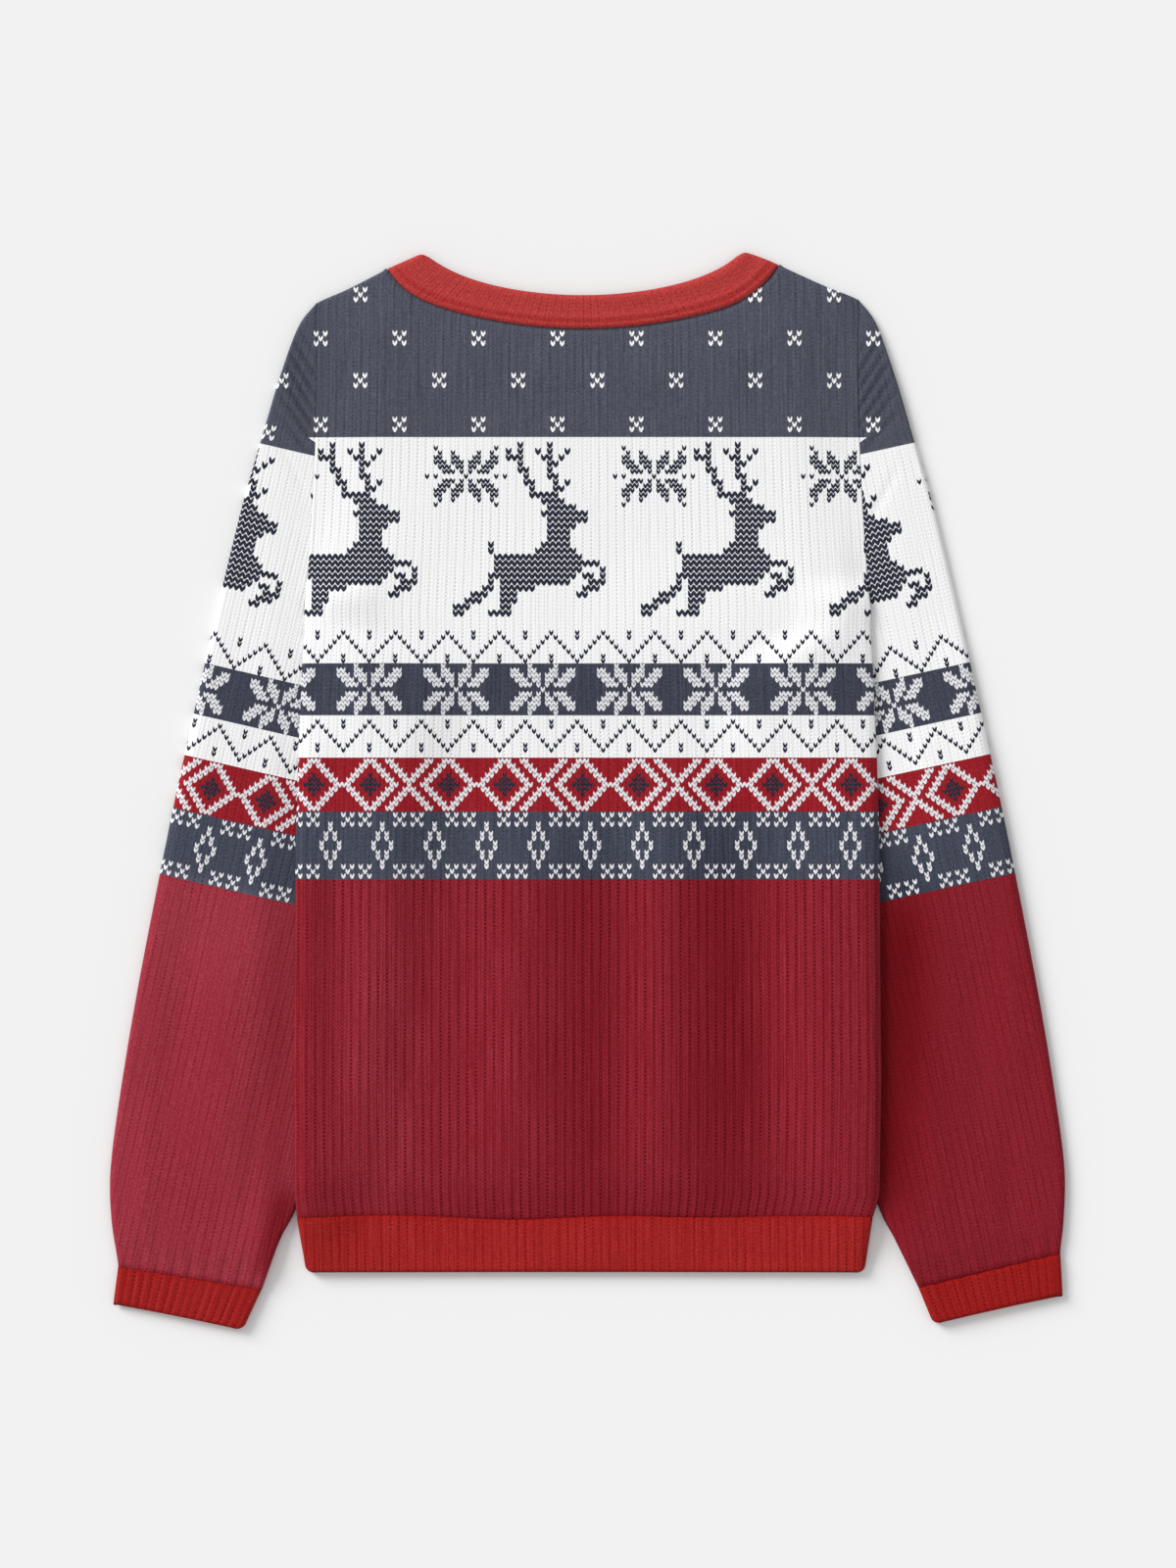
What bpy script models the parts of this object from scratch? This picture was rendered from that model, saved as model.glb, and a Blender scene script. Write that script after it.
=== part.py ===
"""A Nordic-pattern Christmas sweater, laid flat with its back up.

The garment is built from the pieces that a knitwear maker joins: a back and a
front panel, two set-in sleeves, and ribbed bands at the neck, the hem and the
cuffs.  Each piece is a knitted wall of its real thickness.  Laid out, the two
layers of each tube lie on each other, and the sides of the body ride over the
sleeves' inner folds, which are tucked under them.

X runs across the garment, +Y to the collar and +Z up.  The tables are in
millimetres; a row's points become metres when its mesh is made.
"""

import math
from collections import namedtuple

import bmesh
import bpy
import numpy as np

# ------------------------------------------------------------ driving sizes

MM = 0.001                # one millimetre, in metres
KNIT_WALL = 2.0           # one layer of the body and sleeve knit
BAND_WALL = 2.4           # one layer of the ribbed bands, knitted double
LAYER_GAP = 0.8           # air between two layers that lie on each other
SEAM = 0.3                # gap between two pieces at their seam
NECK_SEAM = 0.5           # the same gap round the tight neck curves

SHOULDER_TIP = (178.0, 323.0)
UNDERARM = (184.3, 144.0)
ARMHOLE_BOW = 2.0         # how far the armhole edge hollows towards the body
HEM_SEAM_Y = -283.2
HEM_EDGE_Y = -319.2

NECK_CENTRE_X = -3.0      # the collar lies a little to the left
NECK_SEAM_HALF = 130.0    # half the neck's width at the seam
NECK_SEAM_TOP = 346.8     # where the neck seam meets the shoulder line
NECK_OPEN_HALF = 106.5    # half the neck's width at the band's free edge
NECK_OPEN_TOP = 357.2
NECK_POINTS = 13          # points along each half of the ring
BACK_SEAM_LOW = 306.8     # lowest point of each curve, at the centre
BACK_OPEN_LOW = 328.9
FRONT_SEAM_LOW = 237.0
FRONT_OPEN_LOW = 259.0

# A back neck curve is shallow, and turns up steeply at the shoulders: how much
# of its drop each of the two parts takes, and how sudden the steep part is.
Rise = namedtuple("Rise", "wide steep power")
BACK_SEAM_RISE = Rise(0.65, 0.35, 12)
BACK_OPEN_RISE = Rise(0.72, 0.28, 6)

LIFT = 5.2                # how high the body's sides ride over the sleeves
LIFT_RUN = 55.0           # width of the slope beside a sleeve's inner fold
LIFT_MARGIN = 10.0        # the slope ends this far before the fold
LIFT_START = 20.0         # length of the slope below the underarm

# Half the body's width, and how far its middle lies off the centre line.
BodyRow = namedtuple("BodyRow", "y half centre")
BODY = [
    BodyRow(HEM_EDGE_Y, 185.5, -1.5),
    BodyRow(HEM_SEAM_Y, 190.8, -1.8),
    BodyRow(-268.0, 194.0, -0.3),
    BodyRow(-190.0, 194.9, 0.0),
    BodyRow(-38.0, 193.7, 0.0),
    BodyRow(23.0, 191.8, 0.0),
    BodyRow(84.0, 189.1, 0.0),
    BodyRow(118.0, 186.6, 0.0),
    BodyRow(UNDERARM[1], UNDERARM[0], 0.0),
]

# The sleeve's sections, from the armhole to the cuff, for the +X sleeve:
# its outer fold, its inner fold, and how much the outer fold puffs open.
SleeveRow = namedtuple("SleeveRow", "outer_x outer_y inner_x inner_y puff")
SLEEVE = [
    SleeveRow(SHOULDER_TIP[0] + SEAM, SHOULDER_TIP[1], UNDERARM[0] + SEAM, UNDERARM[1], 0.0),
    SleeveRow(192.0, 307.5, 185.6, 136.0, 0.6),
    SleeveRow(203.4, 276.0, 186.6, 127.0, 1.2),
    SleeveRow(214.5, 237.0, 187.5, 118.0, 1.6),
    SleeveRow(226.8, 194.0, 182.0, 106.0, 1.6),
    SleeveRow(238.0, 149.0, 158.0, 92.0, 1.6),
    SleeveRow(250.0, 97.0, 133.3, 69.0, 1.6),
    SleeveRow(262.0, 43.0, 134.6, 12.4, 1.6),
    SleeveRow(274.6, -15.0, 143.3, -46.5, 1.6),
    SleeveRow(287.6, -80.0, 155.4, -111.7, 1.6),
    SleeveRow(298.7, -138.5, 165.5, -170.5, 1.6),
    SleeveRow(308.4, -197.0, 177.1, -228.5, 1.6),
    SleeveRow(315.2, -248.0, 193.6, -277.0, 1.6),
    SleeveRow(315.6, -284.0, 204.2, -298.0, 1.2),
]

# A cuff's corners: where it meets the sleeve, and its free edge.
CuffRow = namedtuple("CuffRow", "side top_outer top_inner edge_outer edge_inner")
CUFFS = [
    CuffRow("left", (-311.7, -315.3), (-216.1, -330.2), (-315.0, -340.6), (-229.1, -358.1)),
    CuffRow("right", (314.0, -306.5), (219.4, -328.8), (315.6, -335.0), (229.8, -354.2)),
]

# Share of a full layer's height at a panel's outer edge, by the distance
# from the edge: the edge of the knit is soft and rounds over to the seam.
EdgeRow = namedtuple("EdgeRow", "inset share")
SOFT_EDGE = [EdgeRow(0.0, 0.5), EdgeRow(1.0, 0.86), EdgeRow(3.0, 1.0)]

BAND_CORNER = 4.5                   # radius of the hem's and the cuffs' free corners
FOLD_ANGLES = (0.0, 45.0, 90.0)     # points round one quarter of a fold
PUFF_REACH = 14.0                   # how far a fold's puff reaches inwards
STEPS_PER_ROW = 2                   # rings between two rows of a table
FINE_STEPS = 6                      # points between two rows where the fold is only measured
BOW_ROWS = 3                        # rows of the sleeve over which the armhole's bow fades
WIDENING_POWER = 3                  # keeps a panel's change of width near its sides
SHARP_ANGLE = 40.0                  # edges sharper than this many degrees stay crisp

CRIMSON = (0.27, 0.02, 0.03)
BRICK = (0.40, 0.03, 0.02)
SLATE = (0.08, 0.085, 0.11)


# ------------------------------------------------------------ curves and heights

def smoothstep(value):
    """Ease from 0 to 1 as the value goes from 0 to 1."""
    t = np.clip(value, 0.0, 1.0)
    return t * t * (3.0 - 2.0 * t)


def smooth_rows(rows, steps):
    """Pass a Catmull-Rom curve through a table's rows, a few steps to a row."""
    points = np.array(rows, dtype=float)
    padded = np.vstack([2 * points[0] - points[1], points, 2 * points[-1] - points[-2]])
    curve = []
    for a, b, c, d in zip(padded, padded[1:], padded[2:], padded[3:]):
        for step in range(steps):
            t = step / steps
            curve.append(0.5 * (2 * b + (c - a) * t + (2 * a - 5 * b + 4 * c - d) * t ** 2
                                + (3 * b - a - 3 * c + d) * t ** 3))
    curve.append(points[-1])
    return np.array(curve)


def body_half(y):
    """Half the body's width: the table below the underarm, the armhole above it."""
    below = np.interp(y, [row.y for row in BODY], [row.half for row in BODY])
    share = np.clip((y - UNDERARM[1]) / (SHOULDER_TIP[1] - UNDERARM[1]), 0.0, 1.0)
    armhole = UNDERARM[0] + (SHOULDER_TIP[0] - UNDERARM[0]) * share
    armhole = armhole - 4.0 * ARMHOLE_BOW * share * (1.0 - share)
    return np.where(np.asarray(y) > UNDERARM[1], armhole, below)


def body_centre(y):
    """How far the body's middle lies off the centre line."""
    return np.interp(y, [row.y for row in BODY], [row.centre for row in BODY])


SLEEVE_CURVE = smooth_rows(SLEEVE, STEPS_PER_ROW)
INNER_FOLD = smooth_rows(SLEEVE, FINE_STEPS)[::-1]


def lift(x, y):
    """Height of the body's underside: it rides over the sleeves' inner folds."""
    fold_x = np.interp(y, INNER_FOLD[:, 3], INNER_FOLD[:, 2])
    across = (np.abs(x) - (fold_x - LIFT_RUN)) / (LIFT_RUN - LIFT_MARGIN)
    start = (UNDERARM[1] - y) / LIFT_START
    end = (y - HEM_EDGE_Y) / (HEM_SEAM_Y - HEM_EDGE_Y)
    return LIFT * smoothstep(across) * smoothstep(start) * smoothstep(end)


def back_rise(t, drop, rise):
    """Height over the lowest point of a back neck curve."""
    return drop * (rise.wide * t ** 2 + rise.steep * np.abs(t) ** rise.power)


def front_rise(t, drop):
    """Height over the lowest point of a front neck curve, half an ellipse."""
    return drop * (1.0 - np.sqrt(1.0 - t ** 2))


def neck_curve(name, t, out=0.0):
    """A point on one of the four neck curves; t runs from -1 to 1 across it."""
    if name == "back seam":
        rise = back_rise(t, NECK_SEAM_TOP - BACK_SEAM_LOW, BACK_SEAM_RISE)
        half, low = NECK_SEAM_HALF, BACK_SEAM_LOW
    elif name == "back opening":
        rise = back_rise(t, NECK_OPEN_TOP - BACK_OPEN_LOW, BACK_OPEN_RISE)
        half, low = NECK_OPEN_HALF, BACK_OPEN_LOW
    elif name == "front seam":
        rise = front_rise(t, NECK_SEAM_TOP - FRONT_SEAM_LOW)
        half, low = NECK_SEAM_HALF, FRONT_SEAM_LOW
    else:
        rise = front_rise(t, NECK_OPEN_TOP - FRONT_OPEN_LOW)
        half, low = NECK_OPEN_HALF, FRONT_OPEN_LOW
    return NECK_CENTRE_X + (half + out) * t, low - out + rise


NECK_STEPS = np.sin(np.radians(np.linspace(-90.0, 90.0, NECK_POINTS)))


# ------------------------------------------------------------ making a piece

def finish(name, colour):
    """The plain knit finish that a piece carries in the construction."""
    material = bpy.data.materials.new(name + "_knit")
    material.use_nodes = True
    shader = material.node_tree.nodes["Principled BSDF"]
    shader.inputs["Base Color"].default_value = (*colour, 1.0)
    shader.inputs["Roughness"].default_value = 0.9
    shader.inputs["Metallic"].default_value = 0.0
    return material


def knitted_wall(name, outer, inner, wraps, colour):
    """Close the wall between an outer and an inner grid of points, in millimetres."""
    mesh_data = bmesh.new()
    skins = [[[mesh_data.verts.new(np.array(point) * MM) for point in row] for row in grid]
             for grid in (outer, inner)]
    rows, columns = len(outer), len(outer[0])
    pairs = [(c, (c + 1) % columns) for c in range(columns if wraps else columns - 1)]
    for skin in skins:
        for lower, upper in zip(skin, skin[1:]):
            for c, d in pairs:
                mesh_data.faces.new((lower[c], lower[d], upper[d], upper[c]))
    out, inn = skins
    for row in (0, rows - 1):
        for c, d in pairs:
            mesh_data.faces.new((out[row][c], out[row][d], inn[row][d], inn[row][c]))
    if not wraps:
        for column in (0, columns - 1):
            for r in range(rows - 1):
                mesh_data.faces.new((out[r][column], out[r + 1][column],
                                     inn[r + 1][column], inn[r][column]))
    bmesh.ops.recalc_face_normals(mesh_data, faces=mesh_data.faces)
    mesh = bpy.data.meshes.new(name)
    mesh_data.to_mesh(mesh)
    mesh_data.free()
    mesh.shade_smooth()
    mesh.set_sharp_from_angle(angle=math.radians(SHARP_ANGLE))
    mesh.materials.append(finish(name, colour))
    piece = bpy.data.objects.new(name, mesh)
    bpy.context.scene.collection.objects.link(piece)
    return piece


# ------------------------------------------------------------ flattened tubes

def fold_radius(wall, puff):
    """Outer radius of a fold: the wall bent round half the gap inside it."""
    return wall + 0.5 * (LAYER_GAP + puff)


def layer_gap(along, length, puffs):
    """Air between the layers: a little more beside each puffed fold."""
    left = puffs[0] * np.exp(-(along / PUFF_REACH) ** 2)
    right = puffs[1] * np.exp(-((length - along) / PUFF_REACH) ** 2)
    return LAYER_GAP + left + right


def tube_profile(length, wall, puffs, flats):
    """Half of a flattened tube's section: outer and inner (along, height) and middles.

    The points go from the left fold's tip over the flat stretch to the right one's.
    """
    outer, inner, middle = [], [], []
    for side, puff in enumerate(puffs):
        radius = fold_radius(wall, puff)
        hollow = radius - wall
        quarter = []
        for degrees in FOLD_ANGLES:
            cosine, sine = math.cos(math.radians(degrees)), math.sin(math.radians(degrees))
            quarter.append((radius * (1 - cosine), radius * sine,
                            radius - hollow * cosine, hollow * sine, radius))
        if side == 1:
            quarter = [(length - a, b, length - c, d, e) for a, b, c, d, e in quarter[::-1]]
        else:
            flat_from = radius
        for a, b, c, d, e in quarter:
            outer.append((a, b))
            inner.append((c, d))
            middle.append(e)
        if side == 0:
            flat_to = length - fold_radius(wall, puffs[1])
            for share in flats:
                along = flat_from + share * (flat_to - flat_from)
                gap = float(layer_gap(along, length, puffs))
                outer.append((along, wall + gap / 2))
                inner.append((along, gap / 2))
                middle.append(wall + gap / 2)
    return outer, inner, middle


def tube_ring(left, right, bow, wall, puffs, flats, height):
    """The outer and inner loop of one section of a tube that lies flat."""
    left, right = np.array(left), np.array(right)
    length = float(np.linalg.norm(right - left))
    direction = (right - left) / length
    normal = np.array((-direction[1], direction[0]))
    outer, inner, middle = tube_profile(length, wall, puffs, flats)
    loops = []
    for half in (outer, inner):
        top, bottom = [], []
        for (along, rise), mid in zip(half, middle):
            share = along / length
            plan = left + direction * along + normal * (4.0 * bow * share * (1.0 - share))
            base = float(height(plan[0], plan[1])) + mid
            top.append((plan[0], plan[1], base + rise))
            bottom.append((plan[0], plan[1], base - rise))
        loops.append(top + bottom[-2:0:-1])
    return loops


def on_the_table(x, y):
    """The height of a piece that lies straight on the table."""
    return 0.0


def make_tube(name, rings, colour):
    """Join a tube's rings, each an outer and an inner loop, into one piece."""
    outer = [ring[0] for ring in rings]
    inner = [ring[1] for ring in rings]
    return knitted_wall(name, outer, inner, wraps=True, colour=colour)


SLEEVE_FLATS = (0.14, 0.38, 0.62, 0.86)
CUFF_FLATS = (0.2, 0.5, 0.8)
HEM_FLATS = (0.03, 0.08, 0.13, 0.19, 0.26, 0.34, 0.5, 0.66, 0.74, 0.81, 0.87, 0.92, 0.97)


def pulled_towards(point, target, distance):
    """A point moved by a distance towards a target."""
    point, target = np.array(point), np.array(target)
    step = target - point
    return point + step * (distance / np.linalg.norm(step))


def make_sleeve(cuff, sign):
    """A set-in sleeve: sections from the armhole seam to the cuff seam."""
    rings = []
    for index, row in enumerate(SLEEVE_CURVE):
        outer_x, outer_y, inner_x, inner_y, puff = row
        bow = ARMHOLE_BOW * max(0.0, 1.0 - index / (BOW_ROWS * STEPS_PER_ROW))
        rings.append(tube_ring((sign * outer_x, outer_y), (sign * inner_x, inner_y),
                               -sign * bow, KNIT_WALL, (puff, 0.0), SLEEVE_FLATS, on_the_table))
    last = SLEEVE[-1]
    outer = pulled_towards(cuff.top_outer, (sign * last.outer_x, last.outer_y), SEAM)
    inner = pulled_towards(cuff.top_inner, (sign * last.inner_x, last.inner_y), SEAM)
    rings.append(tube_ring(outer, inner, 0.0, KNIT_WALL, (0.0, 0.0), SLEEVE_FLATS, on_the_table))
    return make_tube("sleeve_" + cuff.side, rings, CRIMSON)


# A band's rings: how far above its free edge, in radii of its rounded corner.
CORNER_RINGS = (1.0, 1 / 3, 1 / 9, 0.0)
# Above the corner: in shares of the band's whole depth.
CUFF_RINGS = (1.0, 0.5)
HEM_RINGS = (1.0, 0.6, 0.3)


def corner_inset(from_edge):
    """How far a band's rounded corner draws in, by the distance from the free edge."""
    rise = max(0.0, BAND_CORNER - from_edge)
    return BAND_CORNER - math.sqrt(BAND_CORNER ** 2 - rise ** 2)


def band_rings(depth, shares):
    """Distances of a band's rings from its free edge."""
    return [share * depth for share in shares] + [step * BAND_CORNER for step in CORNER_RINGS]


def make_cuff(cuff):
    """A ribbed cuff: a short flattened tube with a narrower free edge."""
    rings = []
    length = math.dist(cuff.top_inner, cuff.edge_inner)
    for from_edge in band_rings(length, CUFF_RINGS):
        share = 1.0 - from_edge / length
        outer = (1 - share) * np.array(cuff.top_outer) + share * np.array(cuff.edge_outer)
        inner = (1 - share) * np.array(cuff.top_inner) + share * np.array(cuff.edge_inner)
        inner = pulled_towards(inner, outer, corner_inset(from_edge))
        rings.append(tube_ring(outer, inner, 0.0, BAND_WALL, (0.0, 0.0), CUFF_FLATS, on_the_table))
    return make_tube("cuff_" + cuff.side, rings, BRICK)


def make_hem_band():
    """The ribbed band round the body's lower edge."""
    rings = []
    depth = HEM_SEAM_Y - SEAM - HEM_EDGE_Y
    for from_edge in band_rings(depth, HEM_RINGS):
        y = HEM_EDGE_Y + from_edge
        half, centre = float(body_half(y)) - corner_inset(from_edge), float(body_centre(y))
        rings.append(tube_ring((centre - half, y), (centre + half, y), 0.0, BAND_WALL,
                               (0.0, 0.0), HEM_FLATS, lift))
    return make_tube("hem_band", rings, BRICK)


# ------------------------------------------------------------ neckband

NECKBAND_RINGS = (0.0, 0.5, 1.0)                    # shares of the way from seam to free edge
NECK_FOLD_ANGLES = (90.0, 45.0, 0.0, -45.0, -90.0)  # points round each fold, from the top


def make_neckband():
    """The ribbed ring round the neck: its back half on top, its deeper front half under it."""
    radius = fold_radius(BAND_WALL, 0.0)
    rings = []
    for share in NECKBAND_RINGS:
        plans = {}
        for half in ("back", "front"):
            seam = np.array(neck_curve(half + " seam", NECK_STEPS))
            opening = np.array(neck_curve(half + " opening", NECK_STEPS))
            plans[half] = ((1 - share) * seam + share * opening).T
        ends = [plans["back"][0], plans["back"][-1]]
        loops = []
        for reach in (radius, radius - BAND_WALL):
            top = [(x, y, radius + reach) for x, y in plans["back"][1:-1]]
            bottom = [(x, y, radius - reach) for x, y in plans["front"][1:-1]]
            folds = []
            for end, side in zip(ends, (-1, 1)):
                seam_end = NECK_SEAM_HALF * side, NECK_SEAM_TOP
                open_end = NECK_OPEN_HALF * side, NECK_OPEN_TOP
                fold = np.array(open_end) - np.array(seam_end)
                normal = np.array((fold[1] * side, abs(fold[0]))) / np.linalg.norm(fold)
                centre = end - normal * radius
                folds.append([(*(centre + normal * reach * math.cos(angle)),
                               radius + reach * math.sin(angle))
                              for angle in np.radians(NECK_FOLD_ANGLES)])
            loops.append(folds[0][::-1] + top + folds[1] + bottom[::-1])
        rings.append(loops)
    return make_tube("neckband", rings, BRICK)


# ------------------------------------------------------------ body panels

LOW_ROWS = [HEM_SEAM_Y, -276.0, -262.0, -235.0, -190.0, -120.0, -50.0, 10.0, 40.0, 56.0,
            68.0, 80.0, 88.0, 96.0, 104.0, 112.0, 120.0, 128.0, 136.0, 144.0, 170.0, 200.0]
HIGH_SHARES = (0.35, 0.7)             # rows between the last low row and the top edge
SHOULDER_COLUMNS = (142.0, 155.0, 166.0)
SHOULDER_START = NECK_SEAM_HALF + 1.0   # from here out, a panel's top is the shoulder seam


def panel_columns():
    """The panel's columns of stitches: where each meets the top edge, from left to right."""
    tip, soft = SHOULDER_TIP[0], [row.inset for row in SOFT_EDGE]
    neck = NECK_CENTRE_X + (NECK_SEAM_HALF + NECK_SEAM) * NECK_STEPS
    left = [-tip + inset for inset in soft] + [-x for x in SHOULDER_COLUMNS[::-1]]
    right = [-x for x in left[::-1]]
    return np.array(left + list(neck) + right)


def panel_top(side, x):
    """The height on the body of a panel's top edge: the shoulder line or the neck seam."""
    tip_x, tip_y = SHOULDER_TIP
    t = (x - NECK_CENTRE_X) / (NECK_SEAM_HALF + NECK_SEAM)
    if abs(t) > 1.0:
        end = abs(NECK_CENTRE_X + math.copysign(NECK_SEAM_HALF + NECK_SEAM, x))
        return tip_y + (NECK_SEAM_TOP - NECK_SEAM - tip_y) * (tip_x - abs(x)) / (tip_x - end)
    return float(neck_curve(side + " seam", np.array(t), NECK_SEAM)[1])


def make_panel(side):
    """The back or the front: a wall that follows the outline and the body's height."""
    columns = panel_columns()
    tops = [panel_top(side, x) for x in columns]
    insets = [row.inset for row in SOFT_EDGE]
    shares = [row.share for row in SOFT_EDGE]
    rows = [("low", y) for y in LOW_ROWS]
    rows += [("high", share) for share in HIGH_SHARES]
    rows += [("edge", inset) for inset in insets[::-1]]
    facing = 1.0 if side == "back" else -1.0
    outer, inner = [], []
    for kind, value in rows:
        out_row, in_row = [], []
        for top_x, top_y in zip(columns, tops):
            low_end, high_end = LOW_ROWS[-1], top_y - insets[-1]
            if kind == "low":
                y = value
            elif kind == "high":
                y = low_end + value * (high_end - low_end)
            else:
                y = top_y - value
            stray = abs(top_x) / SHOULDER_TIP[0]
            widening = float(body_half(y)) - SHOULDER_TIP[0]
            widened = math.copysign(widening * stray ** WIDENING_POWER, top_x)
            x = top_x + widened + float(body_centre(y)) * stray
            from_side = SHOULDER_TIP[0] - abs(top_x)
            side_share = np.interp(from_side, insets, shares) if y < UNDERARM[1] else 1.0
            on_shoulder = abs(top_x - NECK_CENTRE_X) > SHOULDER_START
            top_share = np.interp(top_y - y, insets, shares) if on_shoulder else 1.0
            edge = smoothstep(min(from_side, top_y - y if on_shoulder else from_side) / insets[-1])
            half_gap = 0.5 * (SEAM + (LAYER_GAP - SEAM) * float(edge))
            middle = float(lift(x, y)) + KNIT_WALL + LAYER_GAP / 2
            reach = KNIT_WALL + LAYER_GAP / 2
            out_row.append((x, y, middle + facing * reach * min(side_share, top_share)))
            in_row.append((x, y, middle + facing * half_gap))
        outer.append(out_row)
        inner.append(in_row)
    return knitted_wall(side + "_panel", outer, inner, wraps=False, colour=SLATE)


def main():
    """Clear the scene and make every piece of the sweater."""
    for old in list(bpy.data.objects):
        bpy.data.objects.remove(old)
    make_panel("back")
    make_panel("front")
    for cuff, sign in zip(CUFFS, (-1, 1)):
        make_sleeve(cuff, sign)
        make_cuff(cuff)
    make_hem_band()
    make_neckband()


main()
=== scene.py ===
# %% [markdown]
# # A Nordic-pattern Christmas sweater, laid flat with its back up
#
# The sweater lies on a pale floor, seen from straight above. It has a back and a front panel, two
# set-in sleeves, and ribbed bands at the neck, the hem and the cuffs. The packed frame holds each
# of them as a plain wall in its right place. This lesson gives every wall its soft form, its ribs
# and its colours. Each piece is one thin shell of cloth, because that is what a knitter makes.

# %% Load the frame
import math
from collections import namedtuple

import bpy
import numpy as np
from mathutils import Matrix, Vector


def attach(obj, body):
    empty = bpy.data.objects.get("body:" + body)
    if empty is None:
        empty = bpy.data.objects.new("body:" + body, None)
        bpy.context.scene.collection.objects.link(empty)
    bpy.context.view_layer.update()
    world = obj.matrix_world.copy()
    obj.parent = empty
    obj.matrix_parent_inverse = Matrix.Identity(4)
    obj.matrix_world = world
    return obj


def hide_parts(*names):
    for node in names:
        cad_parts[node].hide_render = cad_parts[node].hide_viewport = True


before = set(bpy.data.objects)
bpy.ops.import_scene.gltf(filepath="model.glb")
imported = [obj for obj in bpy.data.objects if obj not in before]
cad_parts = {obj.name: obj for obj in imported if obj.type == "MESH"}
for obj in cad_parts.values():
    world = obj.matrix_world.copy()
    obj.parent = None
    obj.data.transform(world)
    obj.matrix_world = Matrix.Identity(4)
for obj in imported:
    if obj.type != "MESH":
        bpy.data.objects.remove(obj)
bpy.ops.object.select_all(action="DESELECT")
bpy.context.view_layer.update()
print("frame nodes:", sorted(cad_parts))

# %% [markdown]
# ## The sizes that shape the garment
#
# The tables give the laid-out outline in millimetres, as a pattern maker would note it: rows of the
# body from the hem up, and sections of a sleeve from the armhole down. They are the sizes that the
# frame was built from, so a shell made from them lies on its own wall. A curve through the rows
# keeps the outline smooth at any number of steps.

# %% Outline of the body, the neck and the sleeves
MM = 0.001                # one millimetre, in metres
KNIT_WALL = 2.0           # one layer of the body and sleeve knit
BAND_WALL = 2.4           # one layer of the doubled rib bands
LAYER_GAP = 0.8           # air between two layers that lie on each other
SEAM = 0.3                # gap between two pieces at a seam
NECK_SEAM = 0.5           # the same gap round the tight neck curves

SHOULDER_TIP = (178.0, 323.0)
UNDERARM = (184.3, 144.0)
ARMHOLE_BOW = 2.0
HEM_SEAM_Y = -283.2
HEM_EDGE_Y = -319.2
BAND_CORNER = 4.5

NECK_CENTRE_X = -3.0
NECK_SEAM_HALF = 130.0
NECK_SEAM_TOP = 346.8
NECK_OPEN_HALF = 106.5
NECK_OPEN_TOP = 357.2
BACK_SEAM_LOW = 306.8
BACK_OPEN_LOW = 328.9
FRONT_SEAM_LOW = 237.0
FRONT_OPEN_LOW = 259.0

LIFT = 5.2                # how high the body's sides ride over the sleeves
LIFT_RUN = 55.0
LIFT_MARGIN = 10.0
LIFT_START = 20.0


def table(kind, text):
    """Rows of one kind from a small table of numbers."""
    return [kind(*map(float, line.split())) for line in text.strip().splitlines()]


BodyRow = namedtuple("BodyRow", "y half centre")
BODY = [
    BodyRow(HEM_EDGE_Y, 185.5, -1.5),
    BodyRow(HEM_SEAM_Y, 190.8, -1.8),
    BodyRow(-268, 194, -0.3),
    BodyRow(-190, 194.9, 0),
    BodyRow(-38, 193.7, 0),
    BodyRow(23, 191.8, 0),
    BodyRow(84, 189.1, 0),
    BodyRow(118, 186.6, 0),
    BodyRow(UNDERARM[1], UNDERARM[0], 0),
]

SleeveRow = namedtuple("SleeveRow", "outer_x outer_y inner_x inner_y")
SLEEVE = [
    SleeveRow(SHOULDER_TIP[0] + SEAM, SHOULDER_TIP[1], UNDERARM[0] + SEAM, UNDERARM[1]),
    *table(SleeveRow, """
  192  307.5 185.6    136
203.4    276 186.6    127
214.5    237 187.5    118
226.8    194   182    106
  238    149   158     92
  250     97 133.3     69
  262     43 134.6   12.4
274.6    -15 143.3  -46.5
287.6    -80 155.4 -111.7
298.7 -138.5 165.5 -170.5
308.4   -197 177.1 -228.5
315.2   -248 193.6   -277
315.6   -284 204.2   -298
"""),
]

CuffRow = namedtuple("CuffRow", "side sign top_outer top_inner edge_outer edge_inner")
CUFFS = [
    CuffRow("left", -1, (-311.7, -315.3), (-216.1, -330.2), (-315.0, -340.6), (-229.1, -358.1)),
    CuffRow("right", 1, (314.0, -306.5), (219.4, -328.8), (315.6, -335.0), (229.8, -354.2)),
]
print("body", len(BODY), "rows, sleeve", len(SLEEVE), "rows, cuffs", len(CUFFS))

# %% Curves through the tables


def smoothstep(value):
    """Ease from 0 to 1 as the value goes from 0 to 1."""
    t = np.clip(value, 0.0, 1.0)
    return t * t * (3.0 - 2.0 * t)


def bell(away, width):
    """1 where away is 0, falling softly to nothing at about twice the width."""
    return np.exp(-(away / width) ** 2)


def smooth_rows(rows, steps):
    """Pass a Catmull-Rom curve through a table's rows, with some steps to a row."""
    points = np.array(rows, dtype=float)
    padded = np.vstack([2 * points[0] - points[1], points, 2 * points[-1] - points[-2]])
    curve = []
    for a, b, c, d in zip(padded, padded[1:], padded[2:], padded[3:]):
        for t in np.arange(steps) / steps:
            curve.append(0.5 * (2 * b + (c - a) * t + (2 * a - 5 * b + 4 * c - d) * t ** 2
                                + (3 * b - a - 3 * c + d) * t ** 3))
    curve.append(points[-1])
    return np.array(curve)


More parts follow.
